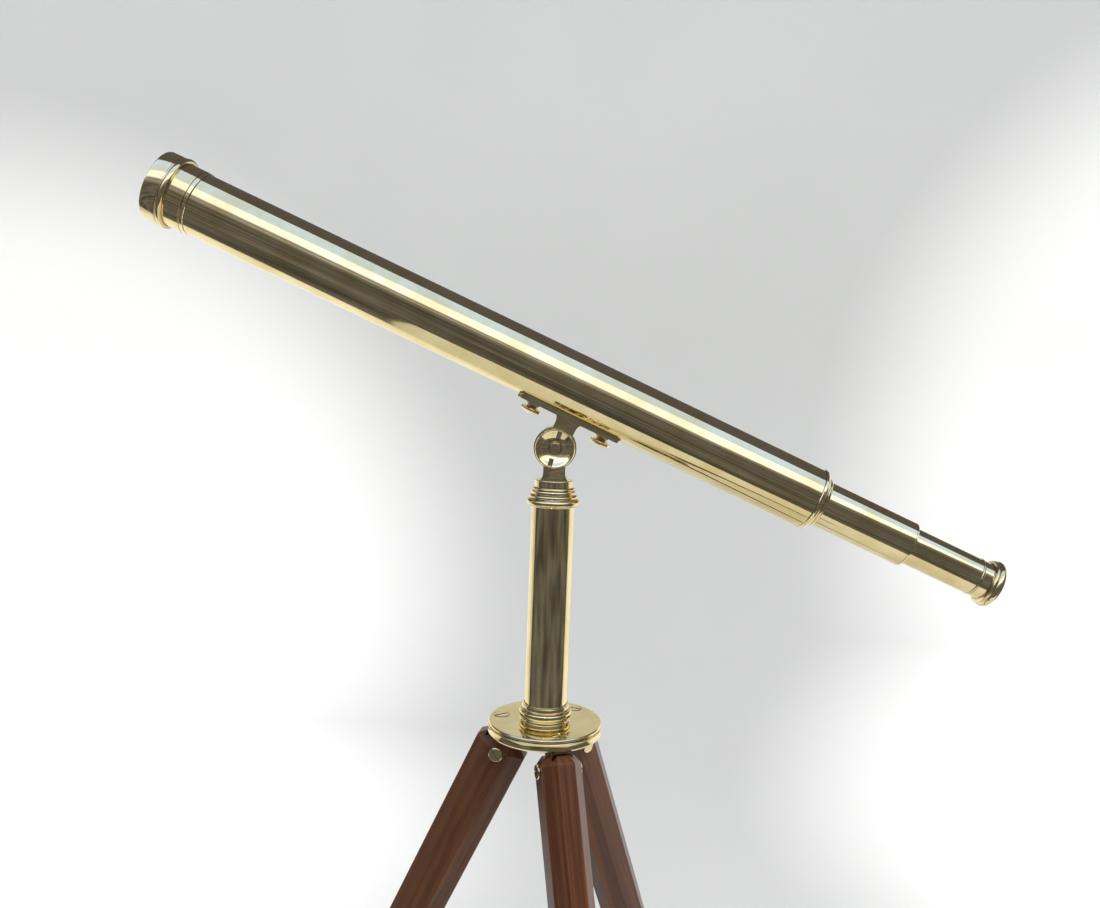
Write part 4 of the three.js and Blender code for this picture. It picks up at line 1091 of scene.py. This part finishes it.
def glow(name, colour, strength, fade=None):
    """Plain light seen in reflections. fade is (direction, from, to): full at from, and gone grey at to."""
    g = Graph(name)
    power = strength
    if fade:
        direction, start, end = fade
        place = g.vector("DOT_PRODUCT", g.coords, direction).outputs["Value"]
        power = g.spread(place, start, end, strength, SHADE_TOP)
    return g.surface({"Color": (*colour, 1.0), "Strength": power}, "ShaderNodeEmission")


def dim(name, colour, strength):
    """Cloudy shade seen in reflections, in level bands, paler towards the top of the screen."""
    g = Graph(name)
    layers = g.node("ShaderNodeMapping", {"Vector": g.coords, "Scale": (0.5, 0.5, 3.2)}).outputs["Vector"]
    cloud = g.node("ShaderNodeTexNoise", {"Vector": layers, "Scale": 2.1, "Detail": 3.0}).outputs["Fac"]
    height = g.node("ShaderNodeSeparateXYZ", {0: g.coords}).outputs[2]
    power = g.spread(cloud, 0.3, 0.7, strength * 0.5, strength * 1.5)
    power = g.maths("ADD", power, g.spread(height, *SHADE_RISE, 0.0, SHADE_TOP - strength))
    return g.surface({"Color": (*colour, 1.0), "Strength": power}, "ShaderNodeEmission")


def reflected_only(obj):
    """Makes a staging piece show in polished surfaces and nowhere else."""
    obj.visible_camera = False
    obj.visible_shadow = False
    obj.visible_transmission = False
    obj.visible_diffuse = False


def card(name, outline, axis, level, material):
    """A flat card across an axis that only reflections show."""
    a_dir, b_dir, c_dir = AXES[axis]
    verts = [a_dir * level / MM + b_dir * b / MM + c_dir * c / MM for b, c in outline]
    obj = new_object(name, verts, [tuple(range(len(verts)))], Matrix.Identity(4))
    obj.data.materials.append(material)
    reflected_only(obj)


def rectangle(b0, b1, c0, c1):
    return [(b0, c0), (b1, c0), (b1, c1), (b0, c1)]


sky_white = glow("softbox_white", (0.71, 0.76, 1.0), 2.0, ((0.3, 1.0, 0.0), -2.2, -2.8))
sky_blue = glow("softbox_cool", (0.435, 0.585, 1.0), 1.7)
overhead = glow("overhead_shade", (0.85, 0.8, 1.0), 0.13)
shade = dim("shade", (0.89, 0.89, 1.0), 0.135)
for name, y0, y1, light in (
    ("bright_softbox", SOFTBOX_FRONT, SOFTBOX_SPLIT, sky_white),
    ("cool_softbox", SOFTBOX_SPLIT, SOFTBOX_BACK, sky_blue),
    ("overhead_flag", SOFTBOX_BACK, REAR_FLAG, overhead),
):
    card(name, rectangle(-CARD_REACH, CARD_REACH, y0, y1), "Z", CARD_HEIGHT, light)
card("rear_flag", rectangle(REAR_LOW, CARD_HEIGHT, -CARD_REACH, CARD_REACH), "Y", REAR_FLAG, overhead)

# How far the dark ground reaches, the height of the screen round it, and the half angle it spans
GROUND_REACH = 2.17
FLAG_HEIGHT = 2.15
FLAG_SPAN = math.radians(101)
# The place and radius of a small bright disc that puts one glint on each polished curve
LAMP_DISC = (-0.10, -1.75, 0.035)
x, y, radius = LAMP_DISC
angles = [k * math.pi / 12 for k in range(24)]
spot = [(x + radius * math.cos(a), y + radius * math.sin(a)) for a in angles]
card("lamp_disc", spot, "Z", CARD_HEIGHT - 0.02, glow("lamp_glow", (1.0, 0.98, 0.92), 60.0))


def front_flag():
    """A dark curved screen round the front, seen only in reflections."""
    verts, faces = [], []
    count = 40
    for k in range(count + 1):
        a = -FLAG_SPAN + 2 * FLAG_SPAN * k / count
        spot = Vector((math.sin(a), -math.cos(a), 0)) * GROUND_REACH / MM
        verts += [spot, spot + Z * FLAG_HEIGHT / MM]
        if k:
            n = 2 * k
            faces.append((n - 2, n, n + 1, n - 1))
    obj = new_object("front_flag", verts, faces, Matrix.Identity(4))
    obj.data.materials.append(shade)
    reflected_only(obj)


front_flag()
ground = [(-1.0, 0.4), (-1.0, -0.98), (1.2, -0.98), (1.2, 0.4), (GROUND_REACH, 0.4)]
for k in range(25):
    a = math.pi * k / 24
    ground.append((GROUND_REACH * math.cos(a), -GROUND_REACH * math.sin(a)))
ground.append((-GROUND_REACH, 0.4))
card("ground_flag", ground, "Z", 0.004, shade)


def lamp(name, place, target, size, power, colour=(1, 1, 1)):
    data = bpy.data.lights.new(name, "AREA")
    data.shape = "RECTANGLE"
    data.size, data.size_y = size
    data.energy = power
    data.color = colour
    obj = bpy.data.objects.new(name, data)
    bpy.context.scene.collection.objects.link(obj)
    obj.location = place
    obj.rotation_mode = "QUATERNION"
    obj.rotation_quaternion = (Vector(target) - Vector(place)).to_track_quat("-Z", "Y")
    obj.visible_camera = False
    obj.visible_glossy = False


lamp("key", (1.3, -1.6, 3.4), (0, 0.1, 0.8), (1.5, 1.1), 80, (1.0, 0.97, 0.92))
lamp("wall_wash", (0.0, 0.6, 3.9), (0, 3.2, 1.2), (3.0, 1.2), 12)
lamp("front_wash", (0.0, -0.8, 4.2), (0, -2.6, 0.6), (3.0, 1.2), 5)

world = bpy.data.worlds.new("studio_air")
bpy.context.scene.world = world
world.use_nodes = True
background = world.node_tree.nodes["Background"].inputs
background["Color"].default_value = (0.95, 0.97, 1.0, 1.0)
background["Strength"].default_value = 1.33

bpy.context.scene.view_settings.view_transform = "Standard"
